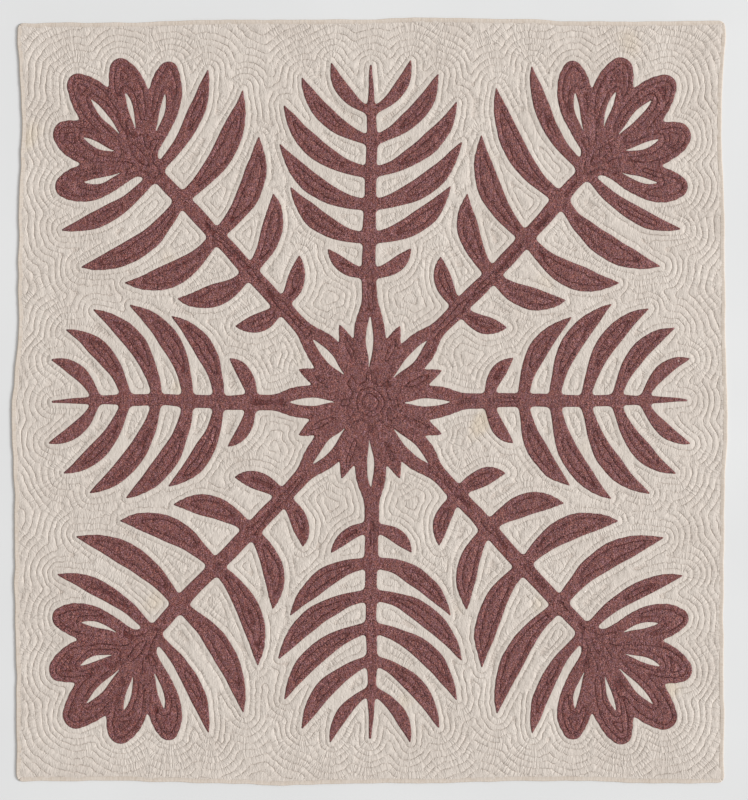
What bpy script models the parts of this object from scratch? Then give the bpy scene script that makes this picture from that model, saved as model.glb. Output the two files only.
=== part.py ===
"""A hand-quilted tivaevae: a cut-out plant pattern sewn on a pale ground, lying flat with its face up.

The ground is the quilted cloth and batting as one solid, flat underneath. The cut-out lies on it as one
thin sheet, and four binding strips wrap its edges. Echo rows of quilting follow the cut-out's outline, so
one height rule shapes both. Sizes are in millimetres, and MM turns them into metres where meshes are made.
"""

import math

import bmesh
import bpy
import numpy as np
from mathutils import Vector
from mathutils.geometry import delaunay_2d_cdt

MM = 0.001

# The quilt as cut, and the round of its corners.
HALF_WIDTH = 975.0
HALF_LENGTH = 1048.0
CORNER = 18.0

# How far each side lies out of the straight line: the place along the side from -1 to 1, then mm outwards.
SIDE_COLUMNS = ("up", "left", "right")
SIDE_WANDER = (
    (-1.00, -1, -2),
    (-0.75, -1, -3),
    (-0.50, 4, -3),
    (-0.25, 4, -1),
    (-0.05, 13, 8),
    (0.20, -6, 2),
    (0.45, -7, -1),
    (0.75, -15, -9),
    (1.00, -3, 2),
)
END_COLUMNS = ("across", "bottom", "top")
END_WANDER = (
    (-1.00, -3, -6),
    (-0.70, -5, -6),
    (-0.45, 2, 2),
    (-0.25, 8, 2),
    (0.00, 2, 4),
    (0.15, 2, 8),
    (0.40, -3, 4),
    (0.60, -5, -2),
    (0.80, 2, -3),
    (1.00, 2, 0),
)

# One eighth of the cut-out: a runs out along an arm of the cross and b away from it, up to the diagonal.
# Each sprig goes from its root to its tip with its middle bent sideways. Its half-width grows from the neck
# to the belly, which is at "place" along it, and falls to the tip.
MOTIF_REACH = 880.0
MOTIF_HALF_WIDTH = 868.0
MOTIF_HALF_LENGTH = 926.0
HUB_RADIUS = 70.0
FILLET = 12.0
SPRIG_COLUMNS = ("name", "root_a", "root_b", "tip_a", "tip_b", "bend", "neck", "belly", "place", "tip")
SPRIGS = (
    ("rosette_arm", 50, 0, 270, 0, 0, 22, 44, 0.56, 10),
    ("rosette_diagonal", 36, 36, 190, 190, 0, 22, 46, 0.56, 10),
    ("rosette_between", 60, 25, 200, 83, 0, 13, 22, 0.55, 2),
    ("fern_rib", 220, 0, 872, 0, 0, 21, 15, 0.60, 3),
    ("frond_1", 334, 8, 396, 112, 14, 14, 19, 0.55, 2),
    ("frond_2", 426, 8, 556, 220, 32, 15, 27, 0.55, 2),
    ("frond_3", 510, 8, 672, 250, 38, 15, 28, 0.55, 2),
    ("frond_4", 594, 7, 776, 238, 38, 14, 27, 0.55, 2),
    ("frond_5", 676, 6, 848, 188, 30, 13, 24, 0.55, 2),
    ("frond_6", 754, 5, 884, 110, 20, 11, 18, 0.55, 2),
    ("stem", 160, 160, 660, 660, 0, 22, 19, 0.60, 18),
    ("leaf_1", 246, 246, 376, 194, -16, 14, 24, 0.55, 2),
    ("leaf_2", 334, 334, 540, 268, -26, 15, 30, 0.55, 2),
    ("leaf_3", 432, 432, 690, 308, -36, 16, 33, 0.55, 2),
    ("leaf_4", 532, 532, 812, 352, -38, 16, 32, 0.55, 2),
    ("calyx", 610, 610, 670, 670, 0, 30, 44, 0.60, 40),
    ("petal_1", 650, 650, 822, 822, 0, 24, 60, 0.70, 38),
    ("petal_2", 655, 640, 868, 700, -6, 22, 54, 0.72, 34),
    ("petal_3", 650, 620, 860, 566, -8, 20, 49, 0.72, 29),
    ("sepal", 616, 592, 866, 452, -26, 13, 23, 0.60, 2),
)
SLITS = (
    ("arm_slit", 96, 0, 226, 0, 0, 1, 11, 0.50, 1),
    ("diagonal_slit", 68, 68, 160, 160, 0, 1, 11, 0.50, 1),
    ("petal_1_slit", 700, 700, 792, 792, 0, 1, 9, 0.60, 1),
    ("petal_2_slit", 716, 660, 812, 690, -3, 1, 8, 0.60, 1),
    ("petal_3_slit", 706, 604, 806, 576, -5, 1, 8, 0.60, 1),
)
LINKS = 12  # straight lengths in a sprig's curve
SLIT_SPRIGS = ("rosette_arm", "rosette_diagonal", "petal_1", "petal_2", "petal_3")
# The scissors' unevenness, as waves: the amount, the turn for each mm along x and y, and the first turn.
SNIPS_ACROSS = ((3.5, 0.0061, 0.0043, 0.7), (2.0, -0.0052, 0.0127, 2.1))
SNIPS_ALONG = ((3.5, 0.0047, -0.0058, 1.9), (2.0, 0.0131, 0.0049, 0.3))

# The quilting: rows of low channels, one on the cut-out's edge and the next a pitch further out.
ROW_PITCH = 40.0
CHANNEL_TOP = 3.2
RIDGE_TOP = 6.3
SLIT_RIDGE_OUT = 26.0  # from a slit's middle line to the top of the cloth beside it
SLIT_RIDGE_TRIM = (0.1, 0.9)  # the stretch of the slit that it runs beside
SPINE_TRIM = (0.16, 0.84)  # the stretch of a sprig whose spine stands up as a ridge
SPINE_POINTS = 3

# The bound edge.
RIM_INSET = 1.3
RIM_TOP = 3.5
RIM_UNDER = 1.2
FLAP_CLEAR_INSET = 13.0
FOOT_INSET = 14.6
ROWS_END_INSET = 24.0
RIM_EASE = 26.0
BINDING_CLOTH = 0.9
BINDING_SECTION = (  # inset from the edge, height
    (12.0, 0.0),
    (0.8, 0.0),
    (0.0, 0.8),
    (0.0, 4.0),
    (0.8, 4.8),
    (12.0, 4.8),
)
STATION_PITCH = 115.0
CORNER_STEPS = 2  # from a straight side to the mitre
MITRE_GAP = 0.4

APPLIQUE_CLOTH = 1.0
SEAT_GAP = 0.3

GRID_STEP = 5.0
OUTLINE_SLACK = 2.8
ROW_SLACK = 7.0
SHORT_LINE = 60.0  # a closed line no longer than this is left out
MERGE = 0.4
ROW_CREASE = 11.0  # degrees
SOFT_CREASE = 40.0

CREAM = (0.62, 0.545, 0.485)
MAROON = (0.195, 0.082, 0.077)
BINDING_CREAM = (0.63, 0.55, 0.48)


def column(columns, rows, name):
    """One named column of a table."""
    return np.array([row[columns.index(name)] for row in rows], float)


def eased(at, places, values):
    """The values at these places, joined by soft curves with no overshoot."""
    at = np.clip(at, places[0], places[-1])
    index = np.clip(np.searchsorted(places, at, side="right") - 1, 0, len(places) - 2)
    share = (at - places[index]) / (places[index + 1] - places[index])
    soft = (1 - np.cos(math.pi * share)) / 2
    return values[index] * (1 - soft) + values[index + 1] * soft


def lie(flat):
    """Where points of the straight-cut quilt come to lie, with sides that wander in and out."""
    across = flat[:, 0] / HALF_WIDTH
    along = flat[:, 1] / HALF_LENGTH
    up = column(SIDE_COLUMNS, SIDE_WANDER, "up")
    left = eased(along, up, column(SIDE_COLUMNS, SIDE_WANDER, "left"))
    right = eased(along, up, column(SIDE_COLUMNS, SIDE_WANDER, "right"))
    ends = column(END_COLUMNS, END_WANDER, "across")
    bottom = eased(across, ends, column(END_COLUMNS, END_WANDER, "bottom"))
    top = eased(across, ends, column(END_COLUMNS, END_WANDER, "top"))
    x = flat[:, 0] + right * np.clip(across, 0, None) ** 2 - left * np.clip(-across, 0, None) ** 2
    y = flat[:, 1] + top * np.clip(along, 0, None) ** 2 - bottom * np.clip(-along, 0, None) ** 2
    return np.stack([x, y], axis=1)


def waves(points, table):
    """A slow sideways drift, the sum of the table's waves."""
    total = np.zeros(len(points))
    for amount, wave_x, wave_y, start in table:
        total += amount * np.sin(wave_x * points[:, 0] + wave_y * points[:, 1] + start)
    return total


def snipped(points):
    """Points of the quilt moved to where an evenly cut pattern would have them."""
    return points + np.stack([waves(points, SNIPS_ACROSS), waves(points, SNIPS_ALONG)], axis=1)


def eighth(points):
    """Points folded into the one eighth that the tables draw, as (a, b)."""
    across = np.abs(points[:, 0]) * MOTIF_REACH / MOTIF_HALF_WIDTH
    along = np.abs(points[:, 1]) * MOTIF_REACH / MOTIF_HALF_LENGTH
    return np.stack([np.maximum(across, along), np.minimum(across, along)], axis=1)


def spine_of(row, share):
    """A sprig's middle line, and its half-width, at these shares of its length."""
    sprig = dict(zip(SPRIG_COLUMNS, row))
    root = np.array([sprig["root_a"], sprig["root_b"]], float)
    tip = np.array([sprig["tip_a"], sprig["tip_b"]], float)
    run = tip - root
    side = np.array([-run[1], run[0]]) / np.hypot(*run)
    middle = (root + tip) / 2 + side * 2 * sprig["bend"]
    line = np.outer((1 - share) ** 2, root) + np.outer(share**2, tip)
    line += np.outer(2 * share * (1 - share), middle)
    place = sprig["place"]
    swell = (1 - np.cos(math.pi * np.clip(share / place, 0, 1))) / 2
    fall = np.cos(math.pi / 2 * np.clip((share - place) / (1 - place), 0, 1))
    rising = sprig["neck"] + (sprig["belly"] - sprig["neck"]) * swell
    falling = sprig["tip"] + (sprig["belly"] - sprig["tip"]) * fall**0.9
    return line, np.where(share < place, rising, falling)


def sprig_distance(points, row):
    """How far points are from a sprig's edge, negative inside it."""
    line, half_width = spine_of(row, np.linspace(0, 1, LINKS + 1))
    nearest = np.full(len(points), np.inf)
    for start, end, at_start, at_end in zip(line[:-1], line[1:], half_width[:-1], half_width[1:]):
        run = end - start
        share = np.clip((points - start) @ run / (run @ run), 0, 1)
        away = points - start - share[:, None] * run
        distance = np.hypot(away[:, 0], away[:, 1]) - at_start - share * (at_end - at_start)
        nearest = np.minimum(nearest, distance)
    return nearest


def joined(first, second):
    """The union of two distances, with a fillet where their edges meet."""
    blend = np.clip(0.5 + 0.5 * (second - first) / FILLET, 0, 1)
    return second * (1 - blend) + first * blend - FILLET * blend * (1 - blend)


def edge_distance(points):
    """How far points of the quilt are from the cut-out's edge, negative on the cut-out."""
    folded = eighth(snipped(points))
    distance = np.hypot(folded[:, 0], folded[:, 1]) - HUB_RADIUS
    for row in SPRIGS:
        distance = joined(distance, sprig_distance(folded, row))
    for row in SLITS:
        distance = np.maximum(distance, -sprig_distance(folded, row))
    return distance


def eight_copies(line):
    """A line of the drawn eighth, in each of its eight places on the quilt."""
    copies = []
    for swap in (False, True):
        turned = line[:, ::-1] if swap else line
        for side in (1, -1):
            for end in (1, -1):
                scale = (side * MOTIF_HALF_WIDTH / MOTIF_REACH, end * MOTIF_HALF_LENGTH / MOTIF_REACH)
                placed = turned * np.array(scale)
                copies.append(2 * placed - snipped(placed))
    return copies


def ridge_lines():
    """The lines where the cloth of the cut-out stands highest: on sprigs and beside each slit."""
    lines = []
    for row in SPRIGS:
        if row[0] not in SLIT_SPRIGS:
            lines += eight_copies(spine_of(row, np.linspace(*SPINE_TRIM, SPINE_POINTS))[0])
    for row in SLITS:
        line = spine_of(row, np.array(SLIT_RIDGE_TRIM))[0]
        run = line[1] - line[0]
        side = np.array([-run[1], run[0]]) / np.hypot(*run) * SLIT_RIDGE_OUT
        lines += eight_copies(line + side) + eight_copies(line - side)
    return lines


def chained(pairs):
    """Pairs of point numbers joined end to end into lines; a closed line repeats its first point."""
    beside = {}
    for a, b in pairs:
        beside.setdefault(a, []).append(b)
        beside.setdefault(b, []).append(a)
    starts = [point for point, others in beside.items() if len(others) == 1] + list(beside)
    lines = []
    for start in starts:
        if not beside[start]:
            continue
        line = [start]
        while beside[line[-1]]:
            following = beside[line[-1]].pop()
            beside[following].remove(line[-1])
            line.append(following)
        lines.append(line)
    return lines


def level_lines(values, level, corner):
    """The lines where the values, given on a grid from this corner, pass the level."""
    below = values < level
    rows, columns = values.shape
    number = np.arange(rows * columns).reshape(rows, columns)
    low = number[:-1, :-1]
    bottom, top = low, number[1:, :-1]
    left, right = low + rows * columns, number[:-1, 1:] + rows * columns
    cut_bottom = below[:-1, :-1] != below[:-1, 1:]
    cut_top = below[1:, :-1] != below[1:, 1:]
    cut_left = below[:-1, :-1] != below[1:, :-1]
    cut_right = below[:-1, 1:] != below[1:, 1:]
    middle = (values[:-1, :-1] + values[1:, :-1] + values[:-1, 1:] + values[1:, 1:]) / 4 < level
    saddle = cut_bottom & cut_top & cut_left & cut_right
    through = saddle & (middle == below[:-1, :-1])
    pairs = []
    for first, second, cell in (
        (bottom, top, cut_bottom & cut_top & ~saddle),
        (left, right, cut_left & cut_right & ~saddle),
        (bottom, left, (cut_bottom & cut_left & ~saddle) | (saddle & ~through)),
        (top, right, (cut_top & cut_right & ~saddle) | (saddle & ~through)),
        (bottom, right, (cut_bottom & cut_right & ~saddle) | through),
        (top, left, (cut_top & cut_left & ~saddle) | through),
    ):
        pairs += zip(first[cell].tolist(), second[cell].tolist())
    flat = values.ravel()
    found = []
    for line in chained(pairs):
        edge = np.array(line)
        upright = edge >= rows * columns
        start = edge - upright * rows * columns
        end = start + np.where(upright, columns, 1)
        share = (level - flat[start]) / (flat[end] - flat[start])
        x = start % columns + np.where(upright, 0, share)
        y = start // columns + np.where(upright, share, 0)
        points = corner + GRID_STEP * np.stack([x, y], axis=1)
        if np.hypot(*np.diff(points, axis=0).T).sum() > SHORT_LINE:
            found.append(points)
    return found


def thinned(line, slack):
    """The fewest of a line's points that stay within this slack of the rest."""
    keep = np.zeros(len(line), bool)
    keep[[0, -1]] = True
    stretches = [(0, len(line) - 1)]
    if np.allclose(line[0], line[-1]):
        far = int(np.argmax(np.hypot(*(line - line[0]).T)))
        keep[far] = True
        stretches = [(0, far), (far, len(line) - 1)]
    while stretches:
        start, end = stretches.pop()
        if end - start < 2:
            continue
        run = line[end] - line[start]
        away = line[start + 1 : end] - line[start]
        off = np.abs(away[:, 0] * run[1] - away[:, 1] * run[0]) / max(np.hypot(*run), 1e-9)
        if off.max() > slack:
            middle = start + 1 + int(np.argmax(off))
            keep[middle] = True
            stretches += [(start, middle), (middle, end)]
    return line[keep]


def inside_loops(points, loops):
    """Whether each point lies inside the closed loops, by counting the sides that pass to its right."""
    inside = np.zeros(len(points), bool)
    for loop in loops:
        for start, end in zip(loop[:-1], loop[1:]):
            if start[1] == end[1]:
                continue
            spans = (start[1] > points[:, 1]) != (end[1] > points[:, 1])
            lean = (end[0] - start[0]) / (end[1] - start[1])
            crossing = start[0] + (points[:, 1] - start[1]) * lean
            inside ^= spans & (points[:, 0] < crossing)
    return inside


def at_inset(points, inset):
    """Points of the edge moved in to this inset, towards the core that the round corners turn about."""
    core_size = np.array([HALF_WIDTH - CORNER, HALF_LENGTH - CORNER])
    core = np.clip(points, -core_size, core_size)
    out = points - core
    return core + out / np.hypot(out[:, 0], out[:, 1])[:, None] * (CORNER - inset)


def side_stations(side):
    """Points along one side of the edge, from its first mitre to its last, counter-clockwise."""
    half_run, half_reach = HALF_WIDTH, HALF_LENGTH
    if side in ("left", "right"):
        half_run, half_reach = half_reach, half_run
    straight = half_run - CORNER
    steps = round(2 * straight / STATION_PITCH)
    turn = np.linspace(0, math.pi / 4, CORNER_STEPS + 1)[1:]
    ends = np.stack([straight + CORNER * np.sin(turn), half_reach - CORNER + CORNER * np.cos(turn)], axis=1)
    middle = np.stack([np.linspace(straight, -straight, steps + 1), np.full(steps + 1, half_reach)], axis=1)
    along_top = np.concatenate([ends[::-1], middle, ends * (-1, 1)])
    x, y = along_top[:, 0], along_top[:, 1]
    placed = {"top": (x, y), "left": (-y, x), "bottom": (-x, -y), "right": (y, -x)}
    return np.stack(placed[side], axis=1)


def rim_ring(inset):
    """The whole edge at this inset, counter-clockwise, each mitre once."""
    sides = [side_stations(side)[:-1] for side in ("top", "left", "bottom", "right")]
    return at_inset(np.concatenate(sides), inset)


def quilted_height(points, distance):
    """The height of the ground's upper face: channels and ridges, easing to the flat rim."""
    rows = np.abs((distance / ROW_PITCH + 0.5) % 1 - 0.5) * 2
    crown = np.clip(-distance * 2 / ROW_PITCH, 0, 1)
    relief = CHANNEL_TOP + (RIDGE_TOP - CHANNEL_TOP) * np.where(distance > 0, rows, crown)
    inset = np.minimum(HALF_WIDTH - np.abs(points[:, 0]), HALF_LENGTH - np.abs(points[:, 1]))
    ease = np.clip((inset - FLAP_CLEAR_INSET - MERGE) / RIM_EASE, 0, 1)
    return RIM_TOP + (relief - RIM_TOP) * ease


def drawn_lines():
    """The closed outlines of the cut-out, and every line that the upper face is creased along."""
    half = np.array([HALF_WIDTH, HALF_LENGTH]) - ROWS_END_INSET
    counts = np.floor(2 * half / GRID_STEP).astype(int)
    corner = -counts * GRID_STEP / 2
    along_x, along_y = (start + GRID_STEP * np.arange(count + 1) for start, count in zip(corner, counts))
    grid = np.stack(np.meshgrid(along_x, along_y), axis=-1)
    values = edge_distance(grid.reshape(-1, 2)).reshape(grid.shape[:2])
    outlines = [thinned(line, OUTLINE_SLACK) for line in level_lines(values, 0.0, corner)]
    rows = []
    for step in range(1, int(values.max() / (ROW_PITCH / 2)) + 1):
        rows += [thinned(line, ROW_SLACK) for line in level_lines(values, step * ROW_PITCH / 2, corner)]
    return outlines, rows + ridge_lines()


def triangulated(outlines, creases):
    """The upper face as triangles whose sides follow every outline, crease and rim line."""
    closed = [np.vstack([ring, ring[:1]]) for ring in (rim_ring(RIM_INSET), rim_ring(FLAP_CLEAR_INSET))]
    points, sides = [], []
    for line in closed + outlines + creases:
        first = len(points)
        points += [Vector(point) for point in line]
        sides += [(first + i, first + i + 1) for i in range(len(line) - 1)]
    found = delaunay_2d_cdt(points, sides, [], 0, MERGE, False)
    return np.array([tuple(point) for point in found[0]]), [tuple(face) for face in found[2]]


def finish_mesh(name, bm, collection, material, crease):
    """Lays the flat-drawn mesh out as the quilt lies, in metres, and makes its object.

    Sides that meet at more than the crease angle stay sharp, and the rest are shaded smooth.
    """
    flat = np.array([vert.co[:2] for vert in bm.verts])
    for vert, (x, y) in zip(bm.verts, lie(flat)):
        vert.co = Vector((x, y, vert.co.z)) * MM
    mesh = bpy.data.meshes.new(name)
    bm.to_mesh(mesh)
    bm.free()
    mesh.shade_smooth()
    mesh.set_sharp_from_angle(angle=math.radians(crease))
    mesh.materials.append(material)
    piece = bpy.data.objects.new(name, mesh)
    collection.objects.link(piece)
    return piece


def mesh_of(points, heights, faces):
    """A bmesh of these faces, facing up, with only the points that they use."""
    bm = bmesh.new()
    used = sorted({index for face in faces for index in face})
    verts = {index: bm.verts.new((*points[index], heights[index])) for index in used}
    for face in faces:
        bm.faces.new([verts[index] for index in face])
    bmesh.ops.recalc_face_normals(bm, faces=bm.faces)
    if sum(face.normal.z for face in bm.faces) < 0:
        bmesh.ops.reverse_faces(bm, faces=bm.faces)
    return bm


def extruded_ring(bm, edges, inset, height):
    """A new ring grown from these edges to another inset and height."""
    grown = bmesh.ops.extrude_edge_only(bm, edges=edges)["geom"]
    verts = [item for item in grown if isinstance(item, bmesh.types.BMVert)]
    moved = at_inset(np.array([vert.co[:2] for vert in verts]), inset)
    for vert, (x, y) in zip(verts, moved):
        vert.co = (x, y, height)
    return [item for item in grown if isinstance(item, bmesh.types.BMEdge)]


def make_ground(points, heights, faces, collection, material):
    """Top cloth, batting and backing as one solid, flat underneath but raised over the lower flap."""
    bm = mesh_of(points, heights, faces)
    ring = [edge for edge in bm.edges if edge.is_boundary]
    ring = extruded_ring(bm, ring, RIM_INSET, RIM_UNDER)
    ring = extruded_ring(bm, ring, FLAP_CLEAR_INSET, RIM_UNDER)
    ring = extruded_ring(bm, ring, FOOT_INSET, 0.0)
    bmesh.ops.contextual_create(bm, geom=ring)
    bmesh.ops.recalc_face_normals(bm, faces=bm.faces)
    return finish_mesh("ground", bm, collection, material, ROW_CREASE)


def make_applique(points, heights, faces, collection, material):
    """The cut-out: the ground's own upper face, lifted to a seat gap and given the cloth's thickness."""
    bm = mesh_of(points, heights + SEAT_GAP, faces)
    piece = finish_mesh("applique", bm, collection, material, SOFT_CREASE)
    cloth = piece.modifiers.new("cloth", "SOLIDIFY")
    cloth.thickness = APPLIQUE_CLOTH * MM
    cloth.offset = 1.0
    return piece


def make_binding(side, collection, material):
    """One strip folded over the edge, from mitre to mitre."""
    stations = side_stations(side)
    run = stations[[1, -2]] - stations[[0, -1]]
    stations[[0, -1]] += run / np.hypot(run[:, 0], run[:, 1])[:, None] * MITRE_GAP
    bm = bmesh.new()
    bmesh.ops.create_grid(bm, x_segments=len(stations) - 1, y_segments=len(BINDING_SECTION) - 1, size=0.5)
    spread = np.array([(vert.co.x + 0.5, vert.co.y + 0.5) for vert in bm.verts])
    station = np.rint(spread[:, 0] * (len(stations) - 1)).astype(int)
    corner = np.rint(spread[:, 1] * (len(BINDING_SECTION) - 1)).astype(int)
    for vert, i, j in zip(bm.verts, station, corner):
        inset, height = BINDING_SECTION[j]
        x, y = at_inset(stations[i : i + 1], inset)[0]
        vert.co = (x, y, height)
    piece = finish_mesh(f"binding_{side}", bm, collection, material, SOFT_CREASE)
    cloth = piece.modifiers.new("cloth", "SOLIDIFY")
    cloth.thickness = BINDING_CLOTH * MM
    cloth.offset = -1.0
    cloth.use_even_offset = True
    return piece


def cloth_material(name, colour):
    """Plain matt cotton."""
    material = bpy.data.materials.new(name)
    material.use_nodes = True
    shader = material.node_tree.nodes["Principled BSDF"]
    shader.inputs["Base Color"].default_value = (*colour, 1)
    shader.inputs["Roughness"].default_value = 0.9
    shader.inputs["Metallic"].default_value = 0.0
    return material


def centre_on_origin(pieces):
    """Slides the pieces together so that the middle of their box, seen from above, is the origin."""
    corners = np.array([piece.bound_box for piece in pieces]).reshape(-1, 3)
    middle = (corners.min(axis=0) + corners.max(axis=0)) / 2
    for piece in pieces:
        for vert in piece.data.vertices:
            vert.co -= Vector((middle[0], middle[1], 0))


def main():
    for thing in list(bpy.data.objects):
        bpy.data.objects.remove(thing)
    quilt = bpy.data.collections.new("tivaevae_quilt")
    bpy.context.scene.collection.children.link(quilt)
    cream = cloth_material("cream_muslin", CREAM)
    maroon = cloth_material("maroon_print", MAROON)
    tape = cloth_material("binding_muslin", BINDING_CREAM)

    outlines, creases = drawn_lines()
    points, faces = triangulated(outlines, creases)
    distance = edge_distance(points)
    heights = quilted_height(points, distance)
    middles = np.array([points[list(face)].mean(axis=0) for face in faces])
    on_motif = inside_loops(middles, outlines)
    motif_faces = [face for face, is_on in zip(faces, on_motif) if is_on]

    pieces = [
        make_ground(points, heights, faces, quilt, cream),
        make_applique(points, heights, motif_faces, quilt, maroon),
    ]
    for side in ("top", "left", "bottom", "right"):
        pieces.append(make_binding(side, quilt, tape))
    centre_on_origin(pieces)


main()
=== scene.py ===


# %% [markdown]
# # A hand-quilted tivaevae, laid flat with its face up
#
# A tivaevae is a bed quilt with a large plant pattern cut from folded cloth and sewn on a pale ground.
# This one is also batted and quilted: rows of small running stitches echo the cut-out's outline all the
# way to the edge.
#
# The solids that come with this lesson hold the sizes. They are plain, so here each cloth is made again
# with its rows, puckers, weave and stitches, inside the same box.

import math

import bmesh
import bpy
import numpy as np
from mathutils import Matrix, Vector
from mathutils.kdtree import KDTree
from mathutils.geometry import delaunay_2d_cdt


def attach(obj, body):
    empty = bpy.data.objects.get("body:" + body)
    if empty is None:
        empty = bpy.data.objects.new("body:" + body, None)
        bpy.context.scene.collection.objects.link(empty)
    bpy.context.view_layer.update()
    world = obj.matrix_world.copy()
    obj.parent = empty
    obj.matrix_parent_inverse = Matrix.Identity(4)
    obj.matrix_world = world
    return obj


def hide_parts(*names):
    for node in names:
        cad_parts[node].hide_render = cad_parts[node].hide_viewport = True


MM = 0.001  # shapes are drawn in millimetres, and meshes are made in metres

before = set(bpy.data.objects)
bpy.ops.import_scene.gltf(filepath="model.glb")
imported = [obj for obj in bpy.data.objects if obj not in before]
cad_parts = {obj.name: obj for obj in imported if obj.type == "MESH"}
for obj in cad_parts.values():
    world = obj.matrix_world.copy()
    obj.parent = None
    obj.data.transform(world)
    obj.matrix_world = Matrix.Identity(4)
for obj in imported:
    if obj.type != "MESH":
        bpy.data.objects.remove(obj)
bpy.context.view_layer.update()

# %% [markdown]
# ## The edge
#
# A hand-made quilt is never square, and no cloth in it was ever pulled quite straight. Everything is
# drawn here as if it were cut straight, with round corners, and the last step of every piece is `lie`,
# which moves each point to where the wandering sides and a slow drift have put it. One rule for all
# pieces keeps the cloths, the binding and the stitches together. Drawing the wander straight into each
# piece would do the same, but then every distance to the edge would be hard to measure.

# %% Where the sides lie
HALF_WIDTH = 975.0
HALF_LENGTH = 1048.0
CORNER = 18.0

SIDE_WANDER = (  # the place up the sides, then mm outwards on the left and on the right
    (-1.00, -1, -2),
    (-0.75, -1, -3),
    (-0.50, 4, -3),
    (-0.25, 4, -1),
    (-0.05, 13, 8),
    (0.20, -6, 2),
    (0.45, -7, -1),
    (0.75, -15, -9),
    (1.00, -3, 2),
)
END_WANDER = (  # the place across the ends, then mm up at the bottom and at the top
    (-1.00, -3, -6),
    (-0.70, -5, -6),
    (-0.45, 2, 2),
    (-0.25, 8, 2),
    (0.00, 2, 4),
    (0.15, 2, 8),
    (0.40, -3, 4),
    (0.60, -5, -2),
    (0.80, 2, -3),
    (1.00, 2, 0),
)


def eased(at, places, values):
    """The values at these places, joined by soft curves with no overshoot."""
    at = np.clip(at, places[0], places[-1])
    index = np.clip(np.searchsorted(places, at, side="right") - 1, 0, len(places) - 2)
    share = (at - places[index]) / (places[index + 1] - places[index])
    soft = (1 - np.cos(math.pi * share)) / 2
    return values[index] * (1 - soft) + values[index + 1] * soft


def wandered(flat):
    """Where points of the straight-cut quilt come to lie, with sides that wander in and out."""
    halves = (HALF_WIDTH, HALF_LENGTH)
    moved = []
    for axis, table in enumerate((SIDE_WANDER, END_WANDER)):
        places, low, high = np.array(table, float).T
        along = flat[:, 1 - axis] / halves[1 - axis]
        out = flat[:, axis] / halves[axis]
        to_high = eased(along, places, high) * np.clip(out, 0, None) ** 2
        to_low = eased(along, places, low) * np.clip(-out, 0, None) ** 2
        moved.append(flat[:, axis] + to_high - to_low)
    return np.stack(moved, axis=1)

# %% [markdown]
# All the unevenness of handwork comes from one function, `ripples`: soft waves of random length,
# heading and start, added up. It is read at a place, so pieces that lie on each other share its
# ripples. A noise texture could do the same in a modifier, but the rows are worked out before there is
# any mesh, and so plain numbers serve better. Fixed seeds make the same quilt each time.

# %% Ripples
def ripples(points, longest, shortest, seed, count=36):
    """Random soft waves between two lengths in mm, summed so that they are mostly between -1 and 1."""
    random = np.random.default_rng(seed)
    lengths = np.exp(random.uniform(math.log(shortest), math.log(longest), count))
    headings = random.uniform(0, 2 * math.pi, count)
    starts = random.uniform(0, 2 * math.pi, count)
    total = np.zeros(len(points))
    for length, heading, start in zip(lengths, headings, starts):
        travel = points[:, 0] * math.cos(heading) + points[:, 1] * math.sin(heading)
        total += np.sin(travel * 2 * math.pi / length + start)
    return total * math.sqrt(2 / count)

# %% Points along the edge
SIDES = ("top", "left", "bottom", "right")  # counter-clockwise
STATION_PITCH = 6.0
CORNER_STEPS = 3  # from a straight side to the mitre
DRIFT = 0.8  # mm
DRIFT_WAVES = (200, 60)  # mm, the longest and the shortest


def at_inset(points, inset):
    """Points of the edge moved in to this inset, towards the core that the round corners turn about."""
    core_size = np.array([HALF_WIDTH - CORNER, HALF_LENGTH - CORNER])
    core = np.clip(points, -core_size, core_size)
    out = points - core
    return core + out / np.hypot(out[:, 0], out[:, 1])[:, None] * (CORNER - inset)


def side_stations(side):
    """Points along one side of the edge, from its first mitre to its last, counter-clockwise."""
    half_run, half_reach = HALF_WIDTH, HALF_LENGTH
    if side in ("left", "right"):
        half_run, half_reach = half_reach, half_run
    straight = half_run - CORNER
    steps = round(2 * straight / STATION_PITCH)
    turn = np.linspace(0, math.pi / 4, CORNER_STEPS + 1)[1:]
    ends = np.stack([straight + CORNER * np.sin(turn), half_reach - CORNER + CORNER * np.cos(turn)], axis=1)
    middle = np.stack([np.linspace(straight, -straight, steps + 1), np.full(steps + 1, half_reach)], axis=1)
    along_top = np.concatenate([ends[::-1], middle, ends * (-1, 1)])
    x, y = along_top[:, 0], along_top[:, 1]
    placed = {"top": (x, y), "left": (-y, x), "bottom": (-x, -y), "right": (y, -x)}
    return np.stack(placed[side], axis=1)


whole_edge = np.concatenate([side_stations(side)[:-1] for side in SIDES])
lying_edge = wandered(whole_edge)
edge_middle = (lying_edge.min(axis=0) + lying_edge.max(axis=0)) / 2


def lie(flat):
    """Where points of the straight-cut quilt lie, with the middle of the quilt's box at the origin."""
    drift = np.stack([ripples(flat, *DRIFT_WAVES, seed=seed) for seed in (31, 32)], axis=1)
    return wandered(flat) - edge_middle + DRIFT * drift


def rim_inset(points):
    """How far points are in from the straight-cut sides."""
    return np.minimum(HALF_WIDTH - np.abs(points[:, 0]), HALF_LENGTH - np.abs(points[:, 1]))


print("edge:", len(whole_edge), "stations, box middle at", edge_middle.round(1), "mm")

# %% [markdown]
# ## The cut-out
#
# The pattern is cut as a paper snowflake is: the cloth is folded in eight, and one eighth is cut
# freehand. So only one eighth is drawn, as a table of sprigs: leaves, fronds and petals that each run
# along a bent spine. `a` goes out along an arm of the cross and `b` away from it, up to the diagonal.
# The design is a generic one of its kind: a fern along each arm, a flower stem along each diagonal and
# a petal wheel in the middle.
#
# The cut-out could be drawn as outlines of points. A table of spines is easier to change, and it gives
# more than an outline: the distance from any point to the cut edge, which the quilting rows need.

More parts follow.
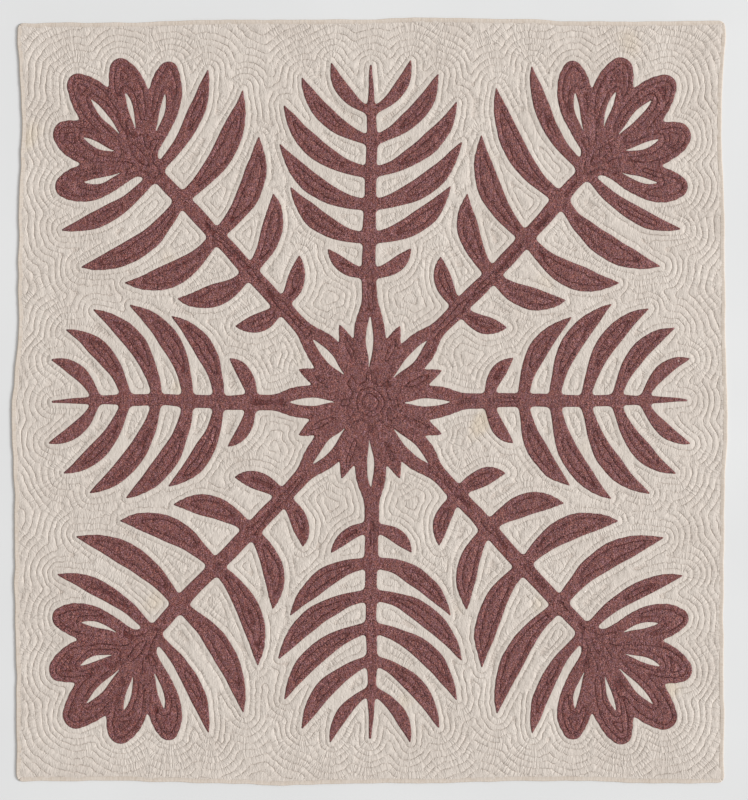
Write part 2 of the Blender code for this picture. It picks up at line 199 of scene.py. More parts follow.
# %% The table of sprigs
MOTIF_REACH = 880.0
MOTIF_HALF_WIDTH = 868.0
MOTIF_HALF_LENGTH = 926.0
HUB_RADIUS = 70.0
FILLET = 12.0
LINKS = 12  # straight lengths in a sprig's curve
TAPER = 0.9  # below 1, a sprig stays wide for longer and ends blunter
SPRIG_COLUMNS = ("name", "root_a", "root_b", "tip_a", "tip_b", "bend", "neck", "belly", "place", "tip")
SPRIGS = (
    ("rosette_arm", 50, 0, 270, 0, 0, 22, 44, 0.56, 10),
    ("rosette_diagonal", 36, 36, 190, 190, 0, 22, 46, 0.56, 10),
    ("rosette_between", 60, 25, 200, 83, 0, 13, 22, 0.55, 2),
    ("fern_rib", 220, 0, 872, 0, 0, 21, 15, 0.60, 3),
    ("frond_1", 334, 8, 396, 112, 14, 14, 19, 0.55, 2),
    ("frond_2", 426, 8, 556, 220, 32, 15, 27, 0.55, 2),
    ("frond_3", 510, 8, 672, 250, 38, 15, 28, 0.55, 2),
    ("frond_4", 594, 7, 776, 238, 38, 14, 27, 0.55, 2),
    ("frond_5", 676, 6, 848, 188, 30, 13, 24, 0.55, 2),
    ("frond_6", 754, 5, 884, 110, 20, 11, 18, 0.55, 2),
    ("stem", 160, 160, 660, 660, 0, 22, 19, 0.60, 18),
    ("leaf_1", 246, 246, 376, 194, -16, 14, 24, 0.55, 2),
    ("leaf_2", 334, 334, 540, 268, -26, 15, 30, 0.55, 2),
    ("leaf_3", 432, 432, 690, 308, -36, 16, 33, 0.55, 2),
    ("leaf_4", 532, 532, 812, 352, -38, 16, 32, 0.55, 2),
    ("calyx", 610, 610, 670, 670, 0, 30, 44, 0.60, 40),
    ("petal_1", 650, 650, 822, 822, 0, 24, 60, 0.70, 38),
    ("petal_2", 655, 640, 868, 700, -6, 22, 54, 0.72, 34),
    ("petal_3", 650, 620, 860, 566, -8, 20, 49, 0.72, 29),
    ("sepal", 616, 592, 866, 452, -26, 13, 23, 0.60, 2),
)
SLITS = (
    ("arm_slit", 96, 0, 226, 0, 0, 1, 11, 0.50, 1),
    ("diagonal_slit", 68, 68, 160, 160, 0, 1, 11, 0.50, 1),
    ("petal_1_slit", 700, 700, 792, 792, 0, 1, 9, 0.60, 1),
    ("petal_2_slit", 716, 660, 812, 690, -3, 1, 8, 0.60, 1),
    ("petal_3_slit", 706, 604, 806, 576, -5, 1, 8, 0.60, 1),
)
print("cut-out:", len(SPRIGS), "sprigs and", len(SLITS), "slits in each eighth")

# %% [markdown]
# The scissors don't cut the eight layers alike, so `snipped` shifts the pattern by a few slow waves
# before it is folded into the eighth. Each sprig is a chain of tapered links. `joined` merges two
# shapes with a small fillet, as scissors turn in a corner, and the slits are taken away at the end.

# %% Distance to the cut edge
SNIPS_ACROSS = ((3.5, 0.0061, 0.0043, 0.7), (2.0, -0.0052, 0.0127, 2.1))
SNIPS_ALONG = ((3.5, 0.0047, -0.0058, 1.9), (2.0, 0.0131, 0.0049, 0.3))


def waves(points, table):
    """A slow sideways shift: each wave has an amount, its turn for a mm along x and y, and its first turn."""
    total = np.zeros(len(points))
    for amount, wave_x, wave_y, start in table:
        total += amount * np.sin(wave_x * points[:, 0] + wave_y * points[:, 1] + start)
    return total


def snipped(points):
    """Points of the quilt moved to where an evenly cut pattern would have them."""
    return points + np.stack([waves(points, SNIPS_ACROSS), waves(points, SNIPS_ALONG)], axis=1)


def eighth(points):
    """Points folded into the one eighth that the tables draw, as (a, b)."""
    across = np.abs(points[:, 0]) * MOTIF_REACH / MOTIF_HALF_WIDTH
    along = np.abs(points[:, 1]) * MOTIF_REACH / MOTIF_HALF_LENGTH
    return np.stack([np.maximum(across, along), np.minimum(across, along)], axis=1)


def spine_of(row):
    """A sprig's bent middle line and its half-width along it."""
    sprig = dict(zip(SPRIG_COLUMNS, row))
    share = np.linspace(0, 1, LINKS + 1)
    root = np.array([sprig["root_a"], sprig["root_b"]], float)
    tip = np.array([sprig["tip_a"], sprig["tip_b"]], float)
    run = tip - root
    side = np.array([-run[1], run[0]]) / np.hypot(*run)
    middle = (root + tip) / 2 + side * 2 * sprig["bend"]
    line = np.outer((1 - share) ** 2, root) + np.outer(share**2, tip)
    line += np.outer(2 * share * (1 - share), middle)
    place = sprig["place"]
    swell = (1 - np.cos(math.pi * np.clip(share / place, 0, 1))) / 2
    fall = np.cos(math.pi / 2 * np.clip((share - place) / (1 - place), 0, 1))
    rising = sprig["neck"] + (sprig["belly"] - sprig["neck"]) * swell
    falling = sprig["tip"] + (sprig["belly"] - sprig["tip"]) * fall**TAPER
    return line, np.where(share < place, rising, falling)


def sprig_distance(points, row):
    """How far points are from a sprig's edge, negative inside it."""
    line, half_width = spine_of(row)
    nearest = np.full(len(points), np.inf)
    for start, end, at_start, at_end in zip(line[:-1], line[1:], half_width[:-1], half_width[1:]):
        run = end - start
        share = np.clip((points - start) @ run / (run @ run), 0, 1)
        away = points - start - share[:, None] * run
        distance = np.hypot(away[:, 0], away[:, 1]) - at_start - share * (at_end - at_start)
        nearest = np.minimum(nearest, distance)
    return nearest


def joined(first, second):
    """The union of two distances, with a fillet where their edges meet."""
    blend = np.clip(0.5 + 0.5 * (second - first) / FILLET, 0, 1)
    return second * (1 - blend) + first * blend - FILLET * blend * (1 - blend)


def edge_distance(points):
    """How far points of the quilt are from the cut-out's edge, negative on the cut-out."""
    folded = eighth(snipped(points))
    distance = np.hypot(folded[:, 0], folded[:, 1]) - HUB_RADIUS
    for row in SPRIGS:
        distance = joined(distance, sprig_distance(folded, row))
    for row in SLITS:
        distance = np.maximum(distance, -sprig_distance(folded, row))
    return distance

# %% [markdown]
# ## Echo quilting
#
# The quilter sews the first row a finger's width outside the cut-out, the next one the same way outside
# that row, and so on. A row is therefore the line on which the distance to the cut edge has one value,
# like a contour line on a map. Where two echoes meet they leave the cusps and scallops that fill the
# border.
#
# The distance is measured once on a fine grid. The hand isn't a machine, so two sets of ripples shift
# it by a millimetre or so: slow ones, and ones only a few stitches long. Both fade out towards the cut
# edge, which stays as it was cut.

# %% The distance over the whole quilt
GRID_STEP = 3.0
ROW_WANDER = 1.6  # mm
WANDER_WAVES = (160, 70)
ROW_JITTER = 0.95  # mm
JITTER_WAVES = (38, 16)
FULL_WANDER = 20.0  # mm from the cut edge

grid_counts = (2 * np.array([HALF_WIDTH, HALF_LENGTH]) / GRID_STEP).astype(int)
grid_corner = -grid_counts * GRID_STEP / 2
grid_x = grid_corner[0] + GRID_STEP * np.arange(grid_counts[0] + 1)
grid_y = grid_corner[1] + GRID_STEP * np.arange(grid_counts[1] + 1)
grid_points = np.stack(np.meshgrid(grid_x, grid_y), axis=-1).reshape(-1, 2)
wander = ROW_WANDER * ripples(grid_points, *WANDER_WAVES, seed=11)
wander += ROW_JITTER * ripples(grid_points, *JITTER_WAVES, seed=12)
straight_distance = edge_distance(grid_points)
distance_grid = straight_distance + wander * np.clip(np.abs(straight_distance) / FULL_WANDER, 0, 1)
distance_grid = distance_grid.reshape(len(grid_y), len(grid_x))
slope_y, slope_x = np.gradient(distance_grid, GRID_STEP)


def sampled(values, points):
    """The grid's values at any points, blended from the four grid points around each."""
    just_inside = np.array(values.shape[::-1]) - 1.001  # so that there is always a next grid point
    place = np.clip((points - grid_corner) / GRID_STEP, 0, just_inside)
    cell = place.astype(int)
    x, y = cell.T
    across, along = (place - cell).T
    lower = values[y, x] * (1 - across) + values[y, x + 1] * across
    upper = values[y + 1, x] * (1 - across) + values[y + 1, x + 1] * across
    return lower * (1 - along) + upper * along


print("distance:", distance_grid.shape, "grid, cut-out covers", round(float((distance_grid < 0).mean()), 3))

# %% [markdown]
# A contour is found cell by cell. Where the distance passes the wanted level between two grid points,
# the line crosses that side of the cell, and each cell joins its crossings in pairs. `chained` then
# follows the pairs from end to end. Blender has no node for this on a plain grid, so it is done with
# arrays of numbers.

# %% Contour lines
SHORT_LINE = 42.0  # mm


def chained(pairs):
    """Pairs of point numbers joined end to end into lines; a closed line repeats its first point."""
    beside = {}
    for a, b in pairs:
        beside.setdefault(a, []).append(b)
        beside.setdefault(b, []).append(a)
    starts = [point for point, others in beside.items() if len(others) == 1] + list(beside)
    lines = []
    for start in starts:
        if not beside[start]:
            continue
        line = [start]
        while beside[line[-1]]:
            following = beside[line[-1]].pop()
            beside[following].remove(line[-1])
            line.append(following)
        lines.append(line)
    return lines


def length_along(line):
    """How far each point of a line is along it."""
    steps = np.hypot(*np.diff(line, axis=0).T)
    return np.concatenate([[0], np.cumsum(steps)])


def metres_of(lines):
    """The length of all these lines together, in metres."""
    return sum(length_along(line)[-1] for line in lines) * MM


def level_lines(level, shortest=SHORT_LINE):
    """The lines on which the distance has this value."""
    below = distance_grid < level
    rows, columns = distance_grid.shape
    number = np.arange(rows * columns).reshape(rows, columns)
    bottom, top = number[:-1, :-1], number[1:, :-1]
    left, right = bottom + rows * columns, number[:-1, 1:] + rows * columns
    cut_bottom = below[:-1, :-1] != below[:-1, 1:]
    cut_top = below[1:, :-1] != below[1:, 1:]
    cut_left = below[:-1, :-1] != below[1:, :-1]
    cut_right = below[:-1, 1:] != below[1:, 1:]
    corners = distance_grid[:-1, :-1] + distance_grid[1:, :-1]
    corners = corners + distance_grid[:-1, 1:] + distance_grid[1:, 1:]
    saddle = cut_bottom & cut_top & cut_left & cut_right
    through = saddle & ((corners / 4 < level) == below[:-1, :-1])
    pairs = []
    for first, second, cell in (
        (bottom, top, cut_bottom & cut_top & ~saddle),
        (left, right, cut_left & cut_right & ~saddle),
        (bottom, left, (cut_bottom & cut_left & ~saddle) | (saddle & ~through)),
        (top, right, (cut_top & cut_right & ~saddle) | (saddle & ~through)),
        (bottom, right, (cut_bottom & cut_right & ~saddle) | through),
        (top, left, (cut_top & cut_left & ~saddle) | through),
    ):
        pairs += zip(first[cell].tolist(), second[cell].tolist())
    flat = distance_grid.ravel()
    found = []
    for line in chained(pairs):
        side = np.array(line)
        upright = side >= rows * columns
        start = side - upright * rows * columns
        end = start + np.where(upright, columns, 1)
        share = (level - flat[start]) / (flat[end] - flat[start])
        x = start % columns + np.where(upright, 0, share)
        y = start // columns + np.where(upright, share, 0)
        points = grid_corner + GRID_STEP * np.stack([x, y], axis=1)
        if length_along(points)[-1] > shortest:
            found.append(points)
    return found

# %% The rows
FIRST_ROW = 14.0  # mm from the cut edge
ROW_GROWTH = 0.8  # the eye judges each row by the last, and they slowly widen
WIDEST_ROW = 19.5
INNER_ROW = 15.5
SHORT_ROW = 100.0  # mm; a hand-quilter doesn't sew a ring smaller than this
OUTER_COUNT = 40  # more rows than the border holds
INNER_COUNT = 8

row_widths = np.minimum(FIRST_ROW + ROW_GROWTH * np.arange(OUTER_COUNT), WIDEST_ROW)
SEAMS = np.concatenate([-INNER_ROW * np.arange(INNER_COUNT, -1, -1), np.cumsum(row_widths)])


def row_of(distance):
    """The number of the row that each distance is in, between SEAMS[row] and SEAMS[row + 1]."""
    return np.clip(np.searchsorted(SEAMS, distance, side="right") - 1, 0, len(SEAMS) - 2)


sewn_levels = [level for level in SEAMS if distance_grid.min() < level < distance_grid.max()]
drawn_lines = {level: level_lines(level, SHORT_ROW if level else SHORT_LINE) for level in sewn_levels}
print("rows:", len(sewn_levels), "levels, cut edge", round(metres_of(drawn_lines[0.0])), "m")

# %% [markdown]
# A line is drawn again with even steps before it goes into a mesh. The cut edge is different: its leaf
# tips are sharp, and even steps would blunt them. So the points that matter are kept, and only long
# gaps are filled.

# %% Even steps, and sharp tips
def evenly(line, step):
    """The line with points at even steps of about this length."""
    place = length_along(line)
    count = max(round(place[-1] / step), 3)
    even = np.linspace(0, place[-1], count + 1)
    return np.stack([np.interp(even, place, line[:, 0]), np.interp(even, place, line[:, 1])], axis=1)


def thinned(line, slack):
    """The fewest of a line's points that stay within this slack of the rest."""
    keep = np.zeros(len(line), bool)
    keep[[0, -1]] = True
    stretches = [(0, len(line) - 1)]
    if np.allclose(line[0], line[-1]):
        far = int(np.argmax(np.hypot(*(line - line[0]).T)))
        keep[far] = True
        stretches = [(0, far), (far, len(line) - 1)]
    while stretches:
        start, end = stretches.pop()
        if end - start < 2:
            continue
        run = line[end] - line[start]
        away = line[start + 1 : end] - line[start]
        off = np.abs(away[:, 0] * run[1] - away[:, 1] * run[0]) / max(np.hypot(*run), 1e-9)
        if off.max() > slack:
            middle = start + 1 + int(np.argmax(off))
            keep[middle] = True
            stretches += [(start, middle), (middle, end)]
    return line[keep]


def gaps_filled(line, longest):
    """The line with extra points on each stretch that is longer than this."""
    pieces = []
    for start, end in zip(line[:-1], line[1:]):
        count = max(math.ceil(np.hypot(*(end - start)) / longest), 1)
        pieces.append(start + (end - start) * np.arange(count)[:, None] / count)
    return np.concatenate(pieces + [line[-1:]])


def runs_where(line, keep):
    """The stretches of the line, two points or longer, on which keep holds."""
    runs, start = [], None
    for index, kept in enumerate([*keep, False]):
        if kept and start is None:
            start = index
        if not kept and start is not None:
            if index - start > 1:
                runs.append(line[start:index])
            start = None
    return runs


CUT_EDGE_STEP = 8.0
CUT_EDGE_SLACK = 0.4
cut_edges = [gaps_filled(thinned(line, CUT_EDGE_SLACK), CUT_EDGE_STEP) for line in drawn_lines[0.0]]
print("cut edge:", len(cut_edges), "closed lines,", sum(len(line) for line in cut_edges), "points")

# %% [markdown]
# Where a row runs into a narrow place, its line turns back on itself like a hairpin. Stitches that
# close would pinch the cloth, so the quilter stops short, and so does `unpinched`: it drops each point
# that has another stretch of seam beside it. `tree_of` keeps points so that the nearest one is found
# fast.

# %% Hairpins
PINCH = 7.0  # mm between two stretches of seam
PINCH_APART = 10  # points; nearer ones along a line belong to the same stretch
SEWN_STEP = 2.5


def tree_of(points):
    """The points, kept so that the nearest is found fast."""
    tree = KDTree(len(points))
    for index, (x, y) in enumerate(points.tolist()):
        tree.insert((x, y, 0), index)
    tree.balance()
    return tree


def unpinched(lines):
    """The stretches of these lines that keep off every other stretch."""
    if not lines:
        return []
    lines = [evenly(line, SEWN_STEP) for line in lines]
    tree = tree_of(np.concatenate(lines))
    kept, first = [], 0
    for line in lines:
        clear = []
        for own, (x, y) in enumerate(line.tolist(), first):
            apart = [abs(other - own) for _, other, _ in tree.find_range((x, y, 0), PINCH)]
            around = len(line) - 1 if np.allclose(line[0], line[-1]) else 1e9
            clear.append(all(min(gap, abs(around - gap)) < PINCH_APART for gap in apart))
        kept += [run for run in runs_where(line, clear) if length_along(run)[-1] > SHORT_LINE]
        first += len(line)
    return kept


seam_lines = {level: unpinched(lines) if level else lines for level, lines in drawn_lines.items()}
all_seams = [line for lines in seam_lines.values() for line in lines]
print("seams:", round(metres_of(all_seams)), "m in", len(all_seams), "runs")

# %% [markdown]
# ## How high the cloth stands
#
# Under the top cloth lies soft batting. Each seam pulls the layers together, and between two seams the
# batting pushes the cloth up, so a row is a long low pillow. Sewing also takes up a little cloth, which
# is why short puckers run across each row. Along the cut edge the hem holds both down. A cloth
# simulation of a whole bed quilt would need millions of small faces to find these, so they are given by
# rules: a pillow across the row, a slow swell and short ripples.
#
# A pucker runs straight across its row. So its ripple isn't read where a point is, but at the nearest
# place on the middle line of the point's row. All points across the row then share one value.

# %% Pillows and puckers
SEAM_TOP = 2.9  # mm above the floor, where the seams pull the cloth down
SEAM_HALF = 0.9
PUFF = 1.9  # mm, for a row of PUFF_ROW
PUFF_ROW = 18.0
PUFF_POWER = 0.75  # below 1, the pillow rises fast from its seam
SWELL = 0.35
SWELL_WAVES = (320, 130)
EDGE_DIP = 0.3  # share of the pillow that the hemmed cut edge holds down
EDGE_DIP_POWER = 1.5
EDGE_DIP_WIDTH = 7.0
PUCKER = 0.55
PUCKER_WAVES = (22, 12)
PUCKER_AT_SEAM = 0.45  # share of a pucker that is left at the seam
LEAST_SLOPE = 0.5  # of the distance; it is 1 except where two echoes meet, and there no place is the nearest
SURE_SLOPE = 0.8
UNSEWN = 2.5  # mm that the nearest stitch may be farther off than the row's own seam


def row_middle(points, distance, row):
    """The place on the middle line of its row that is nearest to each point."""
    middle = (SEAMS[row] + SEAMS[row + 1]) / 2
    uphill = np.stack([sampled(slope_x, points), sampled(slope_y, points)], axis=1)
    steepness = np.hypot(*uphill.T)
    sure = np.clip((steepness - LEAST_SLOPE) / (SURE_SLOPE - LEAST_SLOPE), 0, 1)
    travel = (middle - distance) * sure / np.maximum(steepness, LEAST_SLOPE) ** 2
    return points + uphill * travel[:, None]


quilting_lines = [line for level, lines in seam_lines.items() if level for line in lines]
sewn_tree = tree_of(np.concatenate([evenly(line, SEWN_STEP) for line in quilting_lines]))


def from_seam(points, distance, row):
    """How far each point is from the nearer quilting seam.

    The row's two distances tell it, unless the next row was never sewn, as where two leaves nearly meet.
    Then the nearest real stitch counts. The cut edge is no such seam: it is hemmed to the top cloth alone.
    """
    low, high = SEAMS[row], SEAMS[row + 1]
    to_low = np.where(low == 0, np.inf, distance - low)
    to_high = np.where(high == 0, np.inf, high - distance)
    by_row = np.clip(np.minimum(to_low, to_high), 0, None)
    sewn = np.array([sewn_tree.find((x, y, 0))[2] for x, y in points.tolist()])
    return np.where(sewn > by_row + UNSEWN, sewn, by_row)


def relief(points, distance):
    """How far the quilted cloth stands above the level of the seams."""
    row = row_of(distance)
    width = SEAMS[row + 1] - SEAMS[row]
    share = np.clip((from_seam(points, distance, row) - SEAM_HALF) / (width / 2 - SEAM_HALF), 0, 1)
    pillow = PUFF * width / PUFF_ROW * np.sin(math.pi / 2 * share) ** PUFF_POWER
    off_edge = np.clip(np.abs(distance) / EDGE_DIP_WIDTH, 0, 1)
    pillow *= 1 - EDGE_DIP * (1 - off_edge) ** EDGE_DIP_POWER
    swell = SWELL * ripples(points, *SWELL_WAVES, seed=21)
    across = ripples(row_middle(points, distance, row), *PUCKER_WAVES, seed=22)
    held = PUCKER_AT_SEAM + (1 - PUCKER_AT_SEAM) * share
    return pillow + swell + PUCKER * across * off_edge * held

# %% Heights of each cloth
RIM_INSET = 1.3  # the ground ends here, inside the fold of the binding
RIM_TOP = 3.1
RIM_UNDER = 1.2
FLAP_CLEAR_INSET = 13.0  # just past the binding's hem
FOOT_INSET = 14.6  # from here inwards the backing reaches down to the floor
RIM_FLAT = 11.5  # from here inwards the cloth rises to its pillows
RIM_EASE = 7.0
BACK_RELIEF = 0.9
CUTOUT_CLOTH = 0.45
CUTOUT_LIFT = 0.48
TURNED_EDGE = 0.35  # mm that the folded hem stands above a single cloth
TURNED_WIDTH = 5.5
TURNED_LEAN = 0.6  # below 1, the hem is highest near its fold
TUCK = 1.5  # mm that the ground stays below the cut-out
TUCK_WIDTH = 5.0
HIDDEN_RELIEF = 0.25  # share of the pillows that the ground keeps there


def at_rim(points, height):
    """The height, eased to the flat rim under the binding."""
    ease = np.clip((rim_inset(points) - RIM_FLAT) / RIM_EASE, 0, 1)
    return RIM_TOP + (height - RIM_TOP) * ease


def ground_top(points, distance):
    """The height of the ground's face, which dips under the cut-out."""
    hidden = np.clip(-distance / TUCK_WIDTH, 0, 1)
    kept_relief = relief(points, distance) * (1 - (1 - HIDDEN_RELIEF) * hidden)
    return at_rim(points, SEAM_TOP + kept_relief - TUCK * hidden)


def ground_back(points, distance):
    """The height of the backing, which the seams pull up off the floor."""
    row = row_of(distance)
    share = np.clip(from_seam(points, distance, row) / (SEAMS[row + 1] - SEAMS[row]) * 2, 0, 1)
    ease = np.clip((rim_inset(points) - FOOT_INSET) / RIM_EASE, 0, 1)
    return BACK_RELIEF * (1 - np.sin(math.pi / 2 * share)) * ease


def cutout_top(points, distance):
    """The height of the cut-out's face, with the turned edge as a small rolled hem."""
    inside = np.clip(-distance / TURNED_WIDTH, 0, 1)
    hem = TURNED_EDGE * np.sin(math.pi * inside**TURNED_LEAN) ** 2
    return SEAM_TOP + CUTOUT_LIFT + relief(points, distance) + hem

# %% [markdown]
# ## From lines to cloth
#
# The cloth is a net of triangles whose sides follow every seam. Blender's `delaunay_2d_cdt` makes such
# a net: it gets points, and the pairs of points that have to stay joined. The seams go in as joined
# lines. Between two seams go two rows of loose points, which shape the pillow. Closer seams or more
# rows would make it smoother, but a piece should stay under 200,000 triangles.

# %% The net
MERGE = 0.4  # mm; points this near become one
SEAM_CLEAR = 3.0  # mm that a seam stops short of the binding


def strung(lines):
    """All points of these lines, and the pairs of point numbers that are neighbours on a line."""
    points, pairs = [], []
    for line in lines:
        pairs += [(len(points) + i, len(points) + i + 1) for i in range(len(line) - 1)]
        points += [Vector(point) for point in line]
    return points, pairs


def net(joined_lines, loose_lines):
    """Points and triangles that follow the joined lines, and each given point's number in the result."""
    points, pairs = strung(joined_lines)
    points += strung(loose_lines)[0]
    found = delaunay_2d_cdt(points, pairs, [], 0, MERGE, True)
    number = np.full(len(points), -1)
    for index, given in enumerate(found[3]):
        number[list(given)] = index
    flat = np.array([tuple(point) for point in found[0]])
    faces = np.array(found[2])
    a, b, c = (flat[faces[:, corner]] for corner in range(3))
    turn = (b[:, 0] - a[:, 0]) * (c[:, 1] - a[:, 1]) - (b[:, 1] - a[:, 1]) * (c[:, 0] - a[:, 0])
    faces[turn < 0] = faces[turn < 0][:, ::-1]
    return flat, faces[np.abs(turn) > 1e-6], number


def clear_of_rim(line):
    """The stretches of a line that keep off the rim."""
    return runs_where(line, rim_inset(line) > FLAP_CLEAR_INSET + SEAM_CLEAR)


def lines_in(rows, shares, step):
    """Evenly stepped lines at these shares of the way across each row, clear of the rim."""
    lines = []
    for level in [low + (high - low) * share for low, high in rows for share in shares]:
        for line in level_lines(level):
            lines += clear_of_rim(evenly(line, step))
    return lines

# %% Seams and loose points
SEAM_STEP = 6.5
LOOSE_STEP = 7.0
HIDDEN_STEP = 30.0
HIDDEN_SHARES = (0.0, 0.5)
THIRDS = (0.26, 0.74)

outer_lines = [line for level in sewn_levels if level > 0 for line in seam_lines[level]]
inner_lines = [line for level in sewn_levels if level < 0 for line in seam_lines[level]]
outer_seams = [run for line in outer_lines for run in clear_of_rim(evenly(line, SEAM_STEP))]
inner_seams = [evenly(line, SEAM_STEP) for line in inner_lines]
rows = list(zip(SEAMS[:-1], SEAMS[1:]))
rows_outside = [(low, high) for low, high in rows if 0 <= low < distance_grid.max()]
rows_inside = [(low, high) for low, high in rows if distance_grid.min() < high <= 0]
outer_loose = lines_in(rows_outside, THIRDS, LOOSE_STEP)
print("outer seams:", len(outer_seams), "runs,", round(metres_of(outer_seams)), "m")

# %% [markdown]
# ## Finishes
#
# A finish is a small net of shader nodes. `put` adds one node and hands on one of its outputs, and
# `fill` sees to the inputs: a number goes straight on the input, and another node's output is joined
# to it. The helpers after them each stand for a node or two that every finish needs.
#
# All sizes in the finishes are in metres, as the meshes are, because they read Object coordinates. A
# noise with a scale of 200 has spots of about 1/200 m, or 5 mm.

# %% Helpers for nodes
def fill(tree, node, inputs):
    """The node with these inputs; an input is named, or numbered where names repeat."""
    for name, value in dict(inputs).items():
        if isinstance(value, bpy.types.NodeSocket):
            tree.links.new(value, node.inputs[name])
        else:
            node.inputs[name].default_value = value
    return node


def put(tree, kind, inputs=(), output=0, **settings):
    """One output, most often the first, of a new node with these inputs and settings."""
    node = tree.nodes.new(kind)
    for name, value in settings.items():
        setattr(node, name, value)
    return fill(tree, node, inputs).outputs[output]


def calc(tree, operation, *values):
    """The result of one step of arithmetic."""
    return put(tree, "ShaderNodeMath", dict(enumerate(values)), operation=operation)


def times(tree, first, second):
    return calc(tree, "MULTIPLY", first, second)


def plus(tree, first, second):
    return calc(tree, "ADD", first, second)


def minus(tree, first, second):
    return calc(tree, "SUBTRACT", first, second)


def ranged(tree, value, start, end, at_start, at_end):
    """The value taken softly from one range to another, and held at its ends."""
    limits = {"Value": value, "From Min": start, "From Max": end, "To Min": at_start, "To Max": at_end}
    return put(tree, "ShaderNodeMapRange", limits, interpolation_type="SMOOTHSTEP")


def object_place(tree):
    """The place on the piece, in metres."""
    return put(tree, "ShaderNodeTexCoord", output="Object")


def kept(tree, name, output="Fac"):
    """What the mesh keeps under this name."""
    return put(tree, "ShaderNodeAttribute", output=output, attribute_name=name)


def mapped(tree, place, scale=(1.0, 1.0, 1.0), shift=(0.0, 0.0, 0.0)):
    """The place scaled and shifted, which stretches or moves a pattern."""
    return put(tree, "ShaderNodeMapping", {"Vector": place, "Scale": scale, "Location": shift})


def noise(tree, place, scale, detail=2.0, roughness=0.5):
    """Soft random spots from 0 to 1."""
    inputs = {"Vector": place, "Scale": scale, "Detail": detail, "Roughness": roughness}
    return put(tree, "ShaderNodeTexNoise", inputs)


def winding(tree, spots, width):
    """Thin winding lines, 1 where a noise passes its middle value and 0 this far off it."""
    off_middle = calc(tree, "ABSOLUTE", minus(tree, spots, 0.5))
    return ranged(tree, off_middle, 0.0, width, 1.0, 0.0)


def ramp(tree, value, stops):
    """Colours blended along the value; each stop is a place and a colour."""
    result = put(tree, "ShaderNodeValToRGB", {"Fac": value})
    elements = result.node.color_ramp.elements
    while len(elements) < len(stops):
        elements.new(1.0)
    for element, (place, colour) in zip(elements, stops):
        element.position = place
        element.color = (*colour, 1)
    return result


def tinted(tree, colour, amount, tint):
    """The colour multiplied by a tint, as far as the amount says."""
    inputs = {0: amount, 6: colour, 7: tint if isinstance(tint, bpy.types.NodeSocket) else (*tint, 1)}
    return put(tree, "ShaderNodeMix", inputs, 2, data_type="RGBA", blend_type="MULTIPLY")


def bumped(tree, height, strength=1.0):
    """The shading normal of a height in metres."""
    return put(tree, "ShaderNodeBump", {"Strength": strength, "Distance": 1.0, "Height": height})


def empty_finish(name):
    """A new material, its node tree and its shader."""
    material = bpy.data.materials.new(name)
    material.use_nodes = True
    tree = material.node_tree
    return material, tree, tree.nodes["Principled BSDF"]

# %% [markdown]
# Both cloths are plain-woven cotton that was sewn and washed, so they share one relief: a narrow groove
# along each seam, creases that run across the rows and are deepest near the seams, short wrinkles and
# the soft crumple of washed cotton, both longer along the warp, and the threads of the weave. No two
# stitches are pulled alike, so the groove comes and goes, and `slack` is what stays of it where the
# thread is loosest.
#
# The mesh keeps what the groove and the creases need: `seam_reach`, how far the seam is, `row_place`,
# the place on the middle line of the row, and `row_steady`, which leaves the creases out where rows
# meet. The relief only bends the light: it is a height in metres for a Bump node with a distance of 1.

# %% Relief of sewn cotton
PATCH_SCALE = 5.5  # patches of tighter and looser quilting
TENSION_SCALE = 60
CREASE_SCALE = 105
CRUMPLE_SCALE = 150
WRINKLE_SCALE = 88
THREAD_SCALE = 340.0
LONG_CREASE = (1.0, 0.45, 1.0)
ALONG_WARP = (1.0, 0.35, 1.0)


def sewn_relief(tree, *, groove, pucker, wrinkle, crumple, thread, slack=0.1):
    """The shading normal of sewn cloth, and what its colours read: place, seams, creases and wrinkles."""
    place = object_place(tree)
    reach = kept(tree, "seam_reach")
    patches = noise(tree, place, PATCH_SCALE, 2.0)
    tension = ranged(tree, noise(tree, place, TENSION_SCALE, 3.5, 0.7), 0.38, 0.60, slack, 1.0)
    tension = times(tree, tension, ranged(tree, patches, 0.40, 0.58, 1.0, 0.6))
    seam = times(tree, ranged(tree, reach, 0.0001, 0.0024, 1.0, 0.0), tension)
    row_place = mapped(tree, kept(tree, "row_place", "Vector"), LONG_CREASE)
    crease = winding(tree, noise(tree, row_place, CREASE_SCALE, 2.0, 0.6), 0.12)
    crease = times(tree, crease, ranged(tree, reach, 0.001, 0.009, 1.0, 0.35))
    crease = times(tree, crease, kept(tree, "row_steady"))
    crease = times(tree, crease, ranged(tree, patches, 0.40, 0.58, 0.5, 1.1))
    warp_place = mapped(tree, place, ALONG_WARP)
    soft = noise(tree, warp_place, CRUMPLE_SCALE, 3.0, 0.6)
    line = winding(tree, noise(tree, warp_place, WRINKLE_SCALE, 3.0, 0.65), 0.05)
    line = times(tree, line, ranged(tree, tension, 0.0, 0.5, 0.2, 1.0))
    height = times(tree, seam, -groove)
    for part, depth in ((crease, -pucker), (line, -wrinkle), (soft, crumple)):
        height = plus(tree, height, times(tree, part, depth))
    bands = {"Vector": place, "Scale": THREAD_SCALE, "Distortion": 1.2, "Detail": 1.0, "Detail Scale": 2.0}
    for direction in ("X", "Y"):
        weave = put(tree, "ShaderNodeTexWave", bands, "Fac", wave_type="BANDS", bands_direction=direction)
        height = plus(tree, height, times(tree, weave, thread))
    return bumped(tree, height), place, seam, crease, line

# %% [markdown]
# The ground is unbleached muslin, warm and a little uneven after years of washing: slow clouds of tone,
# small flecks where the cotton was thicker, a few faint yellow age spots, and a dark thread of shadow
# and dust in each seam. Old cotton has no shine, so the roughness is high, with a trace of sheen from
# its loose fibres.

